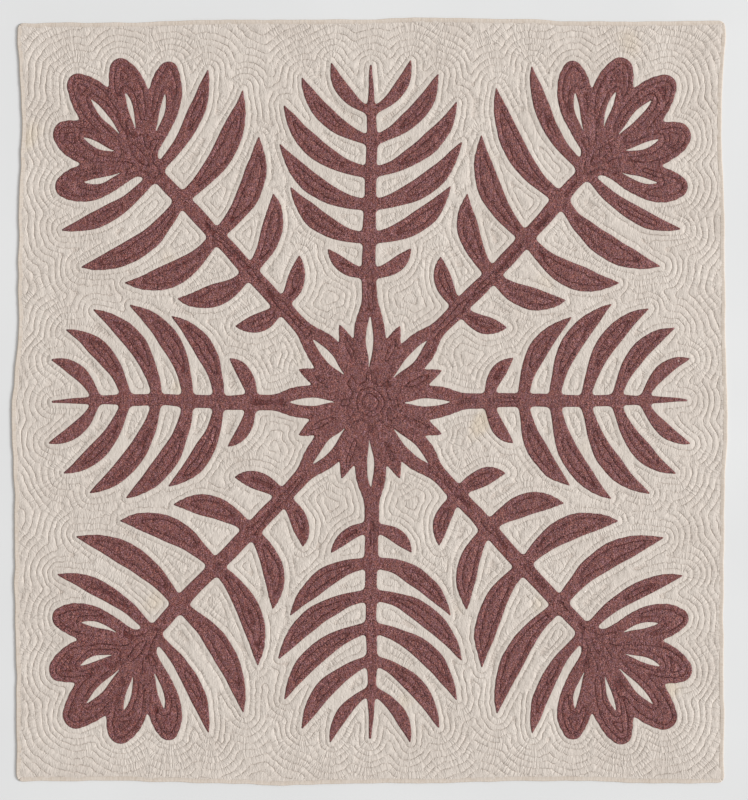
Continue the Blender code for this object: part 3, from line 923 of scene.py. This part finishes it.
# %% Cream muslin
def cream_finish(name, pale, deep):
    """Washed unbleached cotton between two tones."""
    material, tree, shader = empty_finish(name)
    depths = {"groove": 0.0014, "pucker": 0.0013, "wrinkle": 0.0005, "crumple": 0.0016, "thread": 0.00004}
    normal, place, seam, crease, _ = sewn_relief(tree, **depths)
    clouds = noise(tree, place, 7, 3.0, 0.6)
    flecks = noise(tree, place, 330, 3.0, 0.65)
    tone = plus(tree, times(tree, clouds, 0.7), times(tree, flecks, 0.3))
    colour = ramp(tree, tone, ((0.34, deep), (0.64, pale)))
    spots = ranged(tree, noise(tree, place, 4.6, 1.0), 0.68, 0.78, 0.0, 0.5)
    colour = tinted(tree, colour, spots, (1.0, 0.93, 0.76))
    # Painted shade: the creases are darkened in the colour, and each seam gets a dark line that is partly
    # dust and partly painted shade.
    colour = tinted(tree, colour, times(tree, crease, 0.07), (0.72, 0.58, 0.50))
    colour = tinted(tree, colour, times(tree, seam, 0.20), (0.64, 0.48, 0.39))
    looks = {"Base Color": colour, "Normal": normal, "Roughness": 0.92, "Specular IOR Level": 0.25}
    fill(tree, shader, {**looks, "Sheen Weight": 0.08, "Sheen Roughness": 0.6})
    return material


cream = cream_finish("washed_muslin", (0.678, 0.614, 0.558), (0.610, 0.544, 0.490))

# %% [markdown]
# The cut-out is a printed cotton. From afar it is a dusty maroon, but close to it is a fine speckle of
# near black, brick red and pink, with grains of a millimetre or two. One noise makes the grains, and a
# ramp colours them by their depth. A second noise, slower and read elsewhere, turns the dye a little
# towards brick or mauve.
#
# Quilting pulls the cloth into thin creases, most of them along the warp, which are drawn only as dark
# veins of painted shade. Wrinkles, creases and seams get the same painted shade, one dark red tint in
# the folds. The seams here stay deeper than the ground's, so the slack is larger.

# %% Maroon print
GRAIN_DEPTHS = (
    (0.38, (0.012, 0.002, 0.002)),
    (0.45, (0.086, 0.009, 0.008)),
    (0.52, (0.198, 0.052, 0.048)),
    (0.59, (0.462, 0.224, 0.211)),
)
DYES = ((0.37, (1.05, 0.95, 0.82)), (0.50, (1.0, 1.0, 1.0)), (0.63, (0.95, 1.01, 1.22)))
ELSEWHERE = (3.7, 1.9, 0.0)


def maroon_finish(name):
    """Speckled maroon cotton print."""
    material, tree, shader = empty_finish(name)
    depths = {"groove": 0.0024, "pucker": 0.0016, "wrinkle": 0.0011, "crumple": 0.0006, "thread": 0.00004}
    normal, place, seam, crease, line = sewn_relief(tree, **depths, slack=0.5)
    colour = ramp(tree, noise(tree, place, 640, 1.0, 0.6), GRAIN_DEPTHS)
    dye = ramp(tree, noise(tree, mapped(tree, place, shift=ELSEWHERE), 160, 2.5), DYES)
    colour = tinted(tree, colour, 1.0, dye)
    clouds = ranged(tree, noise(tree, place, 11, 2.0), 0.35, 0.65, 0.0, 0.12)
    colour = tinted(tree, colour, clouds, (0.86, 0.80, 0.84))
    painted_vein_shade = winding(tree, noise(tree, mapped(tree, place, ALONG_WARP), 60, 3.0, 0.6), 0.030)
    # Painted shade: veins, wrinkles, creases and seams are darkened in the colour.
    for depth, strength in ((painted_vein_shade, 0.70), (line, 0.25), (crease, 0.16), (seam, 0.80)):
        colour = tinted(tree, colour, times(tree, depth, strength), (0.45, 0.10, 0.08))
    looks = {"Base Color": colour, "Normal": normal, "Roughness": 0.58, "Specular IOR Level": 0.35}
    sheen = {"Sheen Weight": 0.08, "Sheen Roughness": 0.55, "Sheen Tint": (0.9, 0.75, 0.75, 1)}
    fill(tree, shader, {**looks, **sheen})
    return material


maroon = maroon_finish("speckled_maroon")

# %% [markdown]
# The binding is a strip of the same muslin, handled more than any other part, so it is a shade
# yellower. Its folded edge gets a warm painted shade, and the flat part turns a little darker towards
# the hem. Its wrinkles run across the strip, with painted shade in their hollows. The strip keeps two
# measures for this: `along` its length and `across` its width, from the middle of the fold.

# %% Binding muslin
def binding_finish(name):
    """Folded muslin strip with wrinkles across it, and painted shade in the wrinkles and on the fold."""
    material, tree, shader = empty_finish(name)
    place = object_place(tree)
    across = kept(tree, "across")
    run = {"X": kept(tree, "along"), "Y": times(tree, across, 0.3)}
    wrinkles = noise(tree, put(tree, "ShaderNodeCombineXYZ", run), 170, 2.5, 0.6)
    flecks = noise(tree, place, 330, 3.0, 0.65)
    clouds = noise(tree, place, 9, 2.0, 0.5)
    tone = plus(tree, times(tree, clouds, 0.5), times(tree, flecks, 0.5))
    colour = ramp(tree, tone, ((0.34, (0.602, 0.530, 0.462)), (0.62, (0.676, 0.604, 0.538))))
    off_fold = calc(tree, "ABSOLUTE", across)
    # Painted shade in the wrinkles' hollows and on the rounded fold; the flat part also darkens towards the
    # hem.
    for amount, tint in (
        (ranged(tree, wrinkles, 0.36, 0.52, 0.28, 0.0), (0.74, 0.66, 0.58)),
        (ranged(tree, off_fold, 0.0010, 0.0042, 0.4, 0.0), (0.84, 0.75, 0.64)),
        (ranged(tree, off_fold, 0.0035, 0.0085, 0.0, 0.4), (0.86, 0.84, 0.83)),
    ):
        colour = tinted(tree, colour, amount, tint)
    normal = bumped(tree, plus(tree, times(tree, wrinkles, 0.0012), times(tree, flecks, 0.0003)))
    looks = {"Base Color": colour, "Normal": normal, "Roughness": 0.9, "Specular IOR Level": 0.25}
    fill(tree, shader, {**looks, "Sheen Weight": 0.08})
    return material


binding_muslin = binding_finish("folded_muslin")

# %% [markdown]
# Quilting thread is waxed cotton: smoother than the cloth, with a faint shine. A fine noise stands for
# its twist and for the dye that it has lost.

# %% Threads
def thread_finish(name, pale, deep):
    """Waxed cotton thread between two tones."""
    material, tree, shader = empty_finish(name)
    place = object_place(tree)
    twist = noise(tree, place, 1400, 2.0)
    faded = noise(tree, place, 30, 2.0)
    tone = plus(tree, times(tree, twist, 0.5), times(tree, faded, 0.5))
    colour = ramp(tree, tone, ((0.35, deep), (0.65, pale)))
    normal = bumped(tree, times(tree, twist, 0.0001), 0.8)
    fill(tree, shader, {"Base Color": colour, "Normal": normal, "Roughness": 0.62})
    return material


cream_thread = thread_finish("cream_thread", (0.66, 0.58, 0.50), (0.52, 0.45, 0.38))
wine_thread = thread_finish("wine_thread", (0.25, 0.100, 0.094), (0.15, 0.058, 0.055))
print("finishes:", [finish.name for finish in (cream, maroon, binding_muslin, cream_thread, wine_thread)])

# %% [markdown]
# ## The quilted ground
#
# On the real quilt three layers make the ground: top cloth, batting and backing. Nobody sees between
# them, so one closed skin stands for all three: a fine net on top, a coarse one underneath, and a
# stepped wall at the rim, where the binding will fold round. Each vertex also keeps how far it is from
# its seam, and each face corner keeps the middle of its row. The finishes read both, to draw what is
# too fine for the net.

# %% Skin of the ground
rim_top_ring = at_inset(whole_edge, RIM_INSET)
clear_ring = at_inset(whole_edge, FLAP_CLEAR_INSET)
foot_ring = at_inset(whole_edge, FOOT_INSET)


def closed(ring):
    """The ring with its first point repeated at its end."""
    return np.vstack([ring, ring[:1]])


top_flat, top_faces, top_number = net(
    [closed(rim_top_ring), closed(clear_ring), *cut_edges, *outer_seams],
    outer_loose + lines_in(rows_inside, HIDDEN_SHARES, HIDDEN_STEP),
)
back_lines = lines_in(rows_outside + rows_inside, HIDDEN_SHARES, HIDDEN_STEP)
back_flat, back_faces, back_number = net([closed(foot_ring)], back_lines)
print("top:", len(top_faces), "triangles; back:", len(back_faces), "triangles")

# %% Join the skins
SOFT_CREASE = 32.0  # degrees; sides that meet at more than this stay sharp
TORN = 2.0  # times its own length that a side may look to
FAR_FROM_SEAM = 0.01  # metres, for the wall at the rim


def wall(upper, lower):
    """Quads between two rings of vertex numbers, facing out."""
    return [(a, b, c, d) for a, b, c, d in zip(upper, lower, np.roll(lower, -1), np.roll(upper, -1))]


def corner_places(flat, faces):
    """For each corner of each face, the middle of its row, in metres."""
    row = np.repeat(row_of(sampled(distance_grid, flat[faces].mean(axis=1))), 3)
    points = flat[faces.ravel()]
    return row_middle(points, sampled(distance_grid, points), row) * MM


def row_steady(flat, faces, places):
    """1 where a row runs on steadily, and 0 at faces whose corners look to middles that lie far apart."""
    corners = flat[faces] * MM
    middles = places.reshape(-1, 3, 2)
    sides = np.linalg.norm(corners - np.roll(corners, 1, axis=1), axis=2)
    spans = np.linalg.norm(middles - np.roll(middles, 1, axis=1), axis=2)
    steady = np.ones(len(flat))
    steady[faces[(spans / sides).max(axis=1) > TORN].ravel()] = 0
    return steady


def seam_reach(flat):
    """How far each point is from the nearest seam, in metres."""
    distance = sampled(distance_grid, flat)
    return from_seam(flat, distance, row_of(distance)) * MM


def placed(name, data):
    """A new object of the scene that shows this mesh, light or camera."""
    item = bpy.data.objects.new(name, data)
    bpy.context.scene.collection.objects.link(item)
    return item


def cloth_object(name, flat, heights, faces, reach, steady, places, finish):
    """An object of these faces, with what the finishes read; corners past the given places get zeros."""
    mesh = bpy.data.meshes.new(name)
    lying = np.column_stack([lie(flat), heights]) * MM
    mesh.from_pydata(lying.tolist(), [], faces)
    for label, values in (("seam_reach", reach), ("row_steady", steady)):
        mesh.attributes.new(label, "FLOAT", "POINT").data.foreach_set("value", values)
    filled = np.zeros((len(mesh.loops), 3))
    filled[: len(places), :2] = places
    mesh.attributes.new("row_place", "FLOAT_VECTOR", "CORNER").data.foreach_set("vector", filled.ravel())
    mesh.shade_smooth()
    mesh.set_sharp_from_angle(angle=math.radians(SOFT_CREASE))
    mesh.validate()
    mesh.materials.append(finish)
    return placed(name, mesh)


ring_size = len(whole_edge)
under_first = len(top_flat)
clear_first = under_first + ring_size
back_first = clear_first + ring_size
ring = np.arange(ring_size)
top_distance = sampled(distance_grid, top_flat)
back_distance = sampled(distance_grid, back_flat)
skin_flat = np.concatenate([top_flat, rim_top_ring, clear_ring, back_flat])
skin_heights = np.concatenate([
    ground_top(top_flat, top_distance),
    np.full(2 * ring_size, RIM_UNDER),
    ground_back(back_flat, back_distance),
])
skin_faces = [
    *top_faces.tolist(),
    *(back_faces[:, ::-1] + back_first).tolist(),
    *wall(top_number[:ring_size], under_first + ring),
    *wall(under_first + ring, clear_first + ring),
    *wall(clear_first + ring, back_first + back_number[:ring_size]),
]
wall_reach = np.full(2 * ring_size, FAR_FROM_SEAM)
skin_reach = np.concatenate([seam_reach(top_flat), wall_reach, seam_reach(back_flat)])
top_places = corner_places(top_flat, top_faces)
back_places = corner_places(back_flat, back_faces[:, ::-1])
skin_places = np.concatenate([top_places, back_places])
top_steady = row_steady(top_flat, top_faces, top_places)
skin_steady = np.concatenate([top_steady, np.zeros(2 * ring_size), np.ones(len(back_flat))])
ground = cloth_object(
    "quilted_ground", skin_flat, skin_heights, skin_faces, skin_reach, skin_steady, skin_places, cream
)
print("ground:", len(ground.data.polygons), "faces,", skin_heights.max().round(1), "mm at the highest")

# %% [markdown]
# ## The cut-out cloth
#
# The maroon cloth lies on the ground, its raw edge turned under and sewn down, and it is quilted too.
# It is a net of its own, and shares the cut edge's points with the ground, so the two never part. The
# net covers the whole rectangle at first. A face belongs to the cut-out where the distance is negative,
# and a thin face along the edge, where the sign is in doubt, is settled by counting how many edge lines
# lie to its right.
#
# The sheet gets its thickness from Blender's Solidify modifier, applied at once so that a plain mesh
# remains.

# %% Faces of the cut-out
LEAF_STEP = 8.4
HEM_INSET = -2.2  # a line of points that shapes the turned edge
DOUBT = 1.2  # mm; nearer the edge than this, the sign isn't trusted


def inside_loops(points, loops):
    """Whether each point lies inside the closed loops, by counting the sides that pass to its right."""
    inside = np.zeros(len(points), bool)
    for loop in loops:
        for start, end in zip(loop[:-1], loop[1:]):
            if start[1] == end[1]:
                continue
            spans = (start[1] > points[:, 1]) != (end[1] > points[:, 1])
            lean = (end[0] - start[0]) / (end[1] - start[1])
            inside ^= spans & (points[:, 0] < start[0] + (points[:, 1] - start[1]) * lean)
    return inside


def on_cutout(flat, faces):
    """Whether each face is part of the cut-out."""
    corners = sampled(distance_grid, flat)[faces]
    farthest = np.take_along_axis(corners, np.abs(corners).argmax(axis=1)[:, None], axis=1)[:, 0]
    inside = farthest < 0
    doubtful = np.abs(farthest) < DOUBT
    inside[doubtful] = inside_loops(flat[faces[doubtful]].mean(axis=1), cut_edges)
    return inside


hem_lines = [evenly(line, LEAF_STEP) for line in level_lines(HEM_INSET)]
inner_loose = lines_in(rows_inside, THIRDS, LEAF_STEP)
leaf_flat, leaf_faces, _ = net([*cut_edges, *inner_seams], hem_lines + inner_loose)
leaf_faces = leaf_faces[on_cutout(leaf_flat, leaf_faces)]
used, leaf_faces = np.unique(leaf_faces, return_inverse=True)
leaf_faces = leaf_faces.reshape(-1, 3)
leaf_flat = leaf_flat[used]
print("cut-out top:", len(leaf_faces), "triangles")

# %% Thickness of the cut-out
def made_plain(piece):
    """Applies the piece's modifiers, so that it is a plain mesh."""
    graph = bpy.context.evaluated_depsgraph_get()
    evaluated = piece.evaluated_get(graph)
    mesh = bpy.data.meshes.new_from_object(evaluated, preserve_all_data_layers=True, depsgraph=graph)
    piece.modifiers.clear()
    piece.data = mesh
    mesh.name = piece.name
    return piece


def thickened(piece, thickness, offset, even):
    """The piece as a plain mesh this many mm thick: below its faces at offset -1, and about them at 0."""
    solidify = piece.modifiers.new("cloth", "SOLIDIFY")
    solidify.thickness = thickness * MM
    solidify.offset = offset
    solidify.use_even_offset = even
    return made_plain(piece)


def box_size(piece):
    """The lengths of the piece's box, in metres."""
    places = np.array([vert.co for vert in piece.data.vertices])
    return (places.max(axis=0) - places.min(axis=0)).round(4)


leaf_distance = sampled(distance_grid, leaf_flat)
leaf_places = corner_places(leaf_flat, leaf_faces)
cutout = cloth_object(
    "cutout_cloth",
    leaf_flat,
    cutout_top(leaf_flat, leaf_distance),
    leaf_faces.tolist(),
    seam_reach(leaf_flat),
    row_steady(leaf_flat, leaf_faces, leaf_places),
    leaf_places,
    maroon,
)
thickened(cutout, CUTOUT_CLOTH, -1.0, even=False)
flat_area = float(sum(face.area for face in cutout.data.polygons)) / 2
print("cut-out:", len(cutout.data.polygons), "faces,", round(flat_area, 3), "m2, box", box_size(cutout))

# %% [markdown]
# ## The binding
#
# A strip of muslin is folded over each raw edge and hemmed by hand on both sides. Its section is the
# same all along: flat, half a turn round the edge, and flat again. Anything with one section along a
# path is a task for Geometry Nodes: a line becomes the section, another becomes the path, and Curve to
# Mesh sweeps one along the other. The sizes are inputs of the tree, so one tree makes all four strips.
#
# The section is a straight line of the strip's width, bent by a rule. At a distance s from its middle,
# the turn is s / radius, held at a quarter turn to each side. What is left over runs flat over the
# cloth, and sinks a little towards the hem, where the stitches hold it down.

# %% Helpers for Geometry Nodes
def new_tree(name, sizes):
    """A Geometry Nodes tree with these named inputs: each has a label, a kind and a value."""
    tree = bpy.data.node_groups.new(name, "GeometryNodeTree")
    tree.is_modifier = True
    tree.interface.new_socket("Geometry", in_out="INPUT", socket_type="NodeSocketGeometry")
    for label, kind, value in sizes:
        socket = tree.interface.new_socket(label, in_out="INPUT", socket_type=f"NodeSocket{kind}")
        if value is not None:
            socket.default_value = value
    tree.interface.new_socket("Geometry", in_out="OUTPUT", socket_type="NodeSocketGeometry")
    return tree


def with_measure(tree, geometry, name, value):
    """The geometry, which now keeps the value under this name."""
    inputs = {"Geometry": geometry, "Name": name, "Value": value}
    return put(tree, "GeometryNodeStoreNamedAttribute", inputs, data_type="FLOAT")


def measure(tree, name):
    """What the geometry keeps under this name."""
    return put(tree, "GeometryNodeInputNamedAttribute", {"Name": name}, data_type="FLOAT")


def scaled(tree, vector, scale):
    return put(tree, "ShaderNodeVectorMath", {0: vector, "Scale": scale}, operation="SCALE")


def finished_tree(tree, geometry, sizes):
    """Ends a tree: real meshes in place of instances, smooth shading, and the finish."""
    real = put(tree, "GeometryNodeRealizeInstances", {"Geometry": geometry})
    smooth = put(tree, "GeometryNodeSetShadeSmooth", {"Geometry": real})
    finished = put(tree, "GeometryNodeSetMaterial", {"Geometry": smooth, "Material": sizes["Finish"]})
    fill(tree, tree.nodes.new("NodeGroupOutput"), {"Geometry": finished})


def grown(name, lines, tree, values):
    """A plain mesh that the tree grows from lines of lying points in metres."""
    mesh = bpy.data.meshes.new(name)
    mesh.from_pydata(*strung(lines), [])
    piece = placed(name, mesh)
    modifier = piece.modifiers.new("grown", "NODES")
    modifier.node_group = tree
    names = {item.name: item.identifier for item in tree.interface.items_tree if item.in_out == "INPUT"}
    for label, value in values.items():
        modifier[names[label]] = value
    return piece

# %% Tree of the binding
BINDING_SIZES = (
    ("Finish", "Material", None),
    ("Flap", "Float", 0.0098),
    ("Fold Radius", "Float", 0.0017),
    ("Middle Height", "Float", 0.0020),
    ("Hem Drop", "Float", 0.0005),
    ("Section Points", "Int", 23),
    ("Pucker Depth", "Float", 0.0007),
    ("Pucker Length", "Float", 0.011),
    ("Seed", "Float", 3.0),
)


def binding_tree():
    """Folds a strip round the edge along each line."""
    tree = new_tree("folded_binding", BINDING_SIZES)
    sizes = tree.nodes.new("NodeGroupInput").outputs
    radius = sizes["Fold Radius"]
    quarter = times(tree, radius, math.pi / 2)
    half_width = plus(tree, sizes["Flap"], quarter)

    start = put(tree, "ShaderNodeCombineXYZ", {"X": times(tree, half_width, -1.0)})
    end = put(tree, "ShaderNodeCombineXYZ", {"X": half_width})
    straight = put(tree, "GeometryNodeCurvePrimitiveLine", {"Start": start, "End": end})
    counts = {"Curve": straight, "Count": sizes["Section Points"]}
    straight = put(tree, "GeometryNodeResampleCurve", counts)

    s = put(tree, "ShaderNodeSeparateXYZ", {"Vector": put(tree, "GeometryNodeInputPosition")})
    straight = with_measure(tree, straight, "across", s)
    limits = {"Value": calc(tree, "DIVIDE", s, radius), "Min": -math.pi / 2, "Max": math.pi / 2}
    turn = put(tree, "ShaderNodeClamp", limits)
    flat_run = calc(tree, "MAXIMUM", minus(tree, calc(tree, "ABSOLUTE", s), quarter), 0.0)
    round_run = times(tree, radius, minus(tree, 1.0, calc(tree, "COSINE", turn)))
    inwards = plus(tree, flat_run, round_run)
    height = plus(tree, times(tree, radius, calc(tree, "SINE", turn)), sizes["Middle Height"])
    towards_hem = ranged(tree, s, quarter, half_width, 0.0, 1.0)
    height = minus(tree, height, times(tree, towards_hem, sizes["Hem Drop"]))
    # Curve to Mesh lays the section's X outwards and its Y down, so both are turned round.
    bent = put(tree, "ShaderNodeCombineXYZ", {"X": inwards, "Y": height})
    moved = {"Geometry": straight, "Position": scaled(tree, bent, -1.0)}
    section = put(tree, "GeometryNodeSetPosition", moved)

    path = put(tree, "GeometryNodeMeshToCurve", {"Mesh": sizes["Geometry"]})
    path = put(tree, "GeometryNodeSetCurveNormal", {"Curve": path}, mode="Z_UP")
    length = put(tree, "GeometryNodeSplineParameter", output="Length")
    path = with_measure(tree, path, "along", length)
    swept = put(tree, "GeometryNodeCurveToMesh", {"Curve": path, "Profile Curve": section})

    across = measure(tree, "across")
    strip = {"X": measure(tree, "along"), "Y": times(tree, across, 0.35), "Z": sizes["Seed"]}
    strip = put(tree, "ShaderNodeCombineXYZ", strip)
    puckers = noise(tree, strip, calc(tree, "DIVIDE", 1.0, sizes["Pucker Length"]), 2.0)
    limits = {"Value": across, "From Min": times(tree, radius, -1.0), "From Max": radius}
    on_face = put(tree, "ShaderNodeMapRange", {**limits, "To Min": 0.0, "To Max": 1.0})
    depth = times(tree, times(tree, minus(tree, puckers, 0.5), sizes["Pucker Depth"]), 2.0)
    depth = times(tree, depth, on_face)
    pushed = {"Geometry": swept, "Offset": scaled(tree, put(tree, "GeometryNodeInputNormal"), depth)}
    finished_tree(tree, put(tree, "GeometryNodeSetPosition", pushed), sizes)
    return tree

# %% Four strips
BINDING_CLOTH = 0.4
MITRE_GAP = 0.4
SEED_STEP = 3.7
EDGE_INSET = 0.35  # the strip's middle layer, so that its outside stays inside the solid's

binding = binding_tree()
strips = {}
for side in SIDES:
    stations = side_stations(side)
    run = stations[[1, -2]] - stations[[0, -1]]
    stations[[0, -1]] += run / np.hypot(run[:, 0], run[:, 1])[:, None] * MITRE_GAP
    path = np.column_stack([lie(at_inset(stations, EDGE_INSET)), np.zeros(len(stations))]) * MM
    values = {"Finish": binding_muslin, "Seed": SIDES.index(side) * SEED_STEP}
    strip = grown(f"binding_strip_{side}", [path.tolist()], binding, values)
    strips[side] = thickened(strip, BINDING_CLOTH, 0.0, even=True)
    print(strip.name, len(strip.data.polygons), "faces, box", box_size(strip))

# %% [markdown]
# ## The stitches
#
# Each seam is a running stitch: short bars of thread on top, with gaps where the thread passes
# underneath. The cut edge and the binding are hemmed with slip stitches, which show as grains of thread
# along the fold. One tree makes all of them. It steps along each line, and puts at every step a small
# six-sided grain, turned to the line's direction. Two hundred metres of thread are some forty thousand
# stitches, so a grain has as few faces as can still catch the light as thread.

# %% Tree of the stitches
STITCH_SIZES = (
    ("Finish", "Material", None),
    ("Pitch", "Float", 0.0052),
    ("Length", "Float", 0.0029),
    ("Thread", "Float", 0.0008),
    ("Uneven", "Float", 0.15),
    ("Seed", "Int", 1),
)


def stitch_tree():
    """Sews a stitch at each step along the lines."""
    tree = new_tree("hand_stitches", STITCH_SIZES)
    sizes = tree.nodes.new("NodeGroupInput").outputs
    lines = put(tree, "GeometryNodeMeshToCurve", {"Mesh": sizes["Geometry"]})
    steps = {"Curve": lines, "Length": sizes["Pitch"]}
    steps = put(tree, "GeometryNodeResampleCurve", steps, mode="LENGTH")
    grain = put(tree, "GeometryNodeMeshUVSphere", {"Segments": 3, "Rings": 2, "Radius": 0.5})
    tangent = {"Vector": put(tree, "GeometryNodeInputTangent")}
    turn = put(tree, "FunctionNodeAlignRotationToVector", tangent, axis="Z")
    uneven = sizes["Uneven"]
    limits = {2: minus(tree, 1.0, uneven), 3: plus(tree, 1.0, uneven), "Seed": sizes["Seed"]}
    random = put(tree, "FunctionNodeRandomValue", limits, 1, data_type="FLOAT")
    scale = {"X": sizes["Thread"], "Y": sizes["Thread"], "Z": times(tree, random, sizes["Length"])}
    scale = put(tree, "ShaderNodeCombineXYZ", scale)
    sewn_grains = {"Points": steps, "Instance": grain, "Rotation": turn, "Scale": scale}
    finished_tree(tree, put(tree, "GeometryNodeInstanceOnPoints", sewn_grains), sizes)
    return tree

# %% Sew
THREAD_RISE = 0.12  # mm that a stitch's middle stands over the cloth
HEM_STITCH_INSET = -1.3
HEM_LINE_STEP = 5.0
BINDING_HEM_INSET = 12.4
BINDING_HEM_HEIGHT = 3.5

stitches = stitch_tree()


def sewn_lines(lines, height):
    """Lines laid on the cloth whose height this is, in metres."""
    laid = []
    for line in lines:
        heights = height(line, sampled(distance_grid, line)) + THREAD_RISE
        laid.append((np.column_stack([lie(line), heights]) * MM).tolist())
    return laid


def sewn(name, lines, height, values):
    """One mesh of all the stitches along these lines."""
    piece = made_plain(grown(name, sewn_lines(lines, height), stitches, values))
    print(name, len(piece.data.polygons) // 6, "stitches on", round(metres_of(lines)), "m")
    return piece


rim_hem = at_inset(whole_edge, BINDING_HEM_INSET)
hem_line = [evenly(line, HEM_LINE_STEP) for line in level_lines(HEM_STITCH_INSET)]
ground_stitches = sewn("ground_stitches", outer_seams, ground_top, {"Finish": cream_thread, "Seed": 5})
cutout_stitches = sewn("cutout_stitches", inner_seams, cutout_top, {"Finish": wine_thread, "Seed": 6})
hem_sizes = {"Finish": wine_thread, "Seed": 7, "Pitch": 0.0068, "Length": 0.0019, "Thread": 0.0006}
hem_stitches = sewn("hem_stitches", hem_line, cutout_top, hem_sizes)
binding_sizes = {"Finish": cream_thread, "Seed": 8, "Pitch": 0.006, "Length": 0.0021, "Thread": 0.0007}
binding_stitches = sewn(
    "binding_stitches",
    [closed(rim_hem)],
    lambda points, distance: np.full(len(points), BINDING_HEM_HEIGHT),
    binding_sizes,
)

# %% [markdown]
# ## What each piece is
#
# Every piece rides on the one body of the quilt, and the plain solids that the pieces stand for are
# hidden from view.

threads = (ground_stitches, cutout_stitches, hem_stitches, binding_stitches)
for piece in (ground, cutout, *strips.values(), *threads):
    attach(piece, "root")
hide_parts("ground")
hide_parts("applique")
for side, strip in strips.items():
    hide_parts(f"binding_{side}")

# %% [markdown]
# ## Floor, light and camera
#
# The quilt lies on a plain pale floor, seen from straight above. Its relief is only a few millimetres,
# so the light must come in low to show it: one broad, soft light from the right, a weak softbox on the
# same side that lifts the near half a little, and pale surroundings that fill the shadows. A broad sun
# lights two metres of cloth evenly, which a lamp on a stand can't.

# %% Floor
FLOOR_HALF = 45.0  # metres
FLOOR_DROP = 0.0004  # metres, so that the quilt's underside doesn't lie in the floor's own face


def floor_finish():
    """Matt pale plaster with faint clouds."""
    material, tree, shader = empty_finish("pale_floor")
    clouds = noise(tree, object_place(tree), 1.6, 3.0)
    colour = ramp(tree, clouds, ((0.3, (0.70, 0.71, 0.72)), (0.7, (0.74, 0.75, 0.76))))
    fill(tree, shader, {"Base Color": colour, "Roughness": 0.8})
    return material


bm = bmesh.new()
bmesh.ops.create_grid(bm, x_segments=8, y_segments=8, size=FLOOR_HALF)
for vert in bm.verts:
    vert.co.z = -FLOOR_DROP
floor_mesh = bpy.data.meshes.new("floor")
bm.to_mesh(floor_mesh)
bm.free()
floor_mesh.materials.append(floor_finish())
floor = placed("floor", floor_mesh)

# %% Light
LIGHT_FROM = Vector((1.0, 0.03, 0.51))
SUN_STRENGTH = 3.27
SUN_BREADTH = 20.0  # degrees
SUN_COLOUR = (0.975, 0.99, 1.0)
SOFTBOX_PLACE = Vector((3.2, 1.2, 2.2))
SOFTBOX_WATTS = 13.0
SOFTBOX_SIZE = 1.5
FILL = 0.56
FILL_COLOUR = (1.0, 0.97, 0.935, 1)


def lamp(name, kind, place, **settings):
    """A light at this place that faces the middle of the quilt."""
    data = bpy.data.lights.new(name, kind)
    for label, value in settings.items():
        setattr(data, label, value)
    light = placed(name, data)
    light.location = place
    light.rotation_euler = place.to_track_quat("Z", "Y").to_euler()


sun_looks = {"energy": SUN_STRENGTH, "angle": math.radians(SUN_BREADTH), "color": SUN_COLOUR}
lamp("window_light", "SUN", LIGHT_FROM, **sun_looks)
lamp("softbox", "AREA", SOFTBOX_PLACE, energy=SOFTBOX_WATTS, size=SOFTBOX_SIZE)
world = bpy.data.worlds.new("studio")
world.use_nodes = True
fill(world.node_tree, world.node_tree.nodes["Background"], {"Color": FILL_COLOUR, "Strength": FILL})
bpy.context.scene.world = world
bpy.context.scene.view_settings.view_transform = "Standard"
print("light from", [round(value, 2) for value in LIGHT_FROM.normalized()])

# %% Camera
FACE_HEIGHT = 0.005  # metres, of the quilt's face over the floor
CAMERA_HEIGHT = 5.0  # metres over the quilt's face
VIEW_WIDTH = 2.057  # metres across the picture, at the quilt
VIEW_MIDDLE = (0.0124, 0.0041)
SENSOR = 36.0

camera_data = bpy.data.cameras.new("camera")
camera_data.sensor_fit = "HORIZONTAL"
camera_data.sensor_width = SENSOR
camera_data.lens = SENSOR * CAMERA_HEIGHT / VIEW_WIDTH
camera = placed("camera", camera_data)
camera.location = (*VIEW_MIDDLE, FACE_HEIGHT + CAMERA_HEIGHT)
bpy.context.scene.camera = camera
print("camera: lens", round(camera_data.lens, 1), "mm at", CAMERA_HEIGHT, "m")
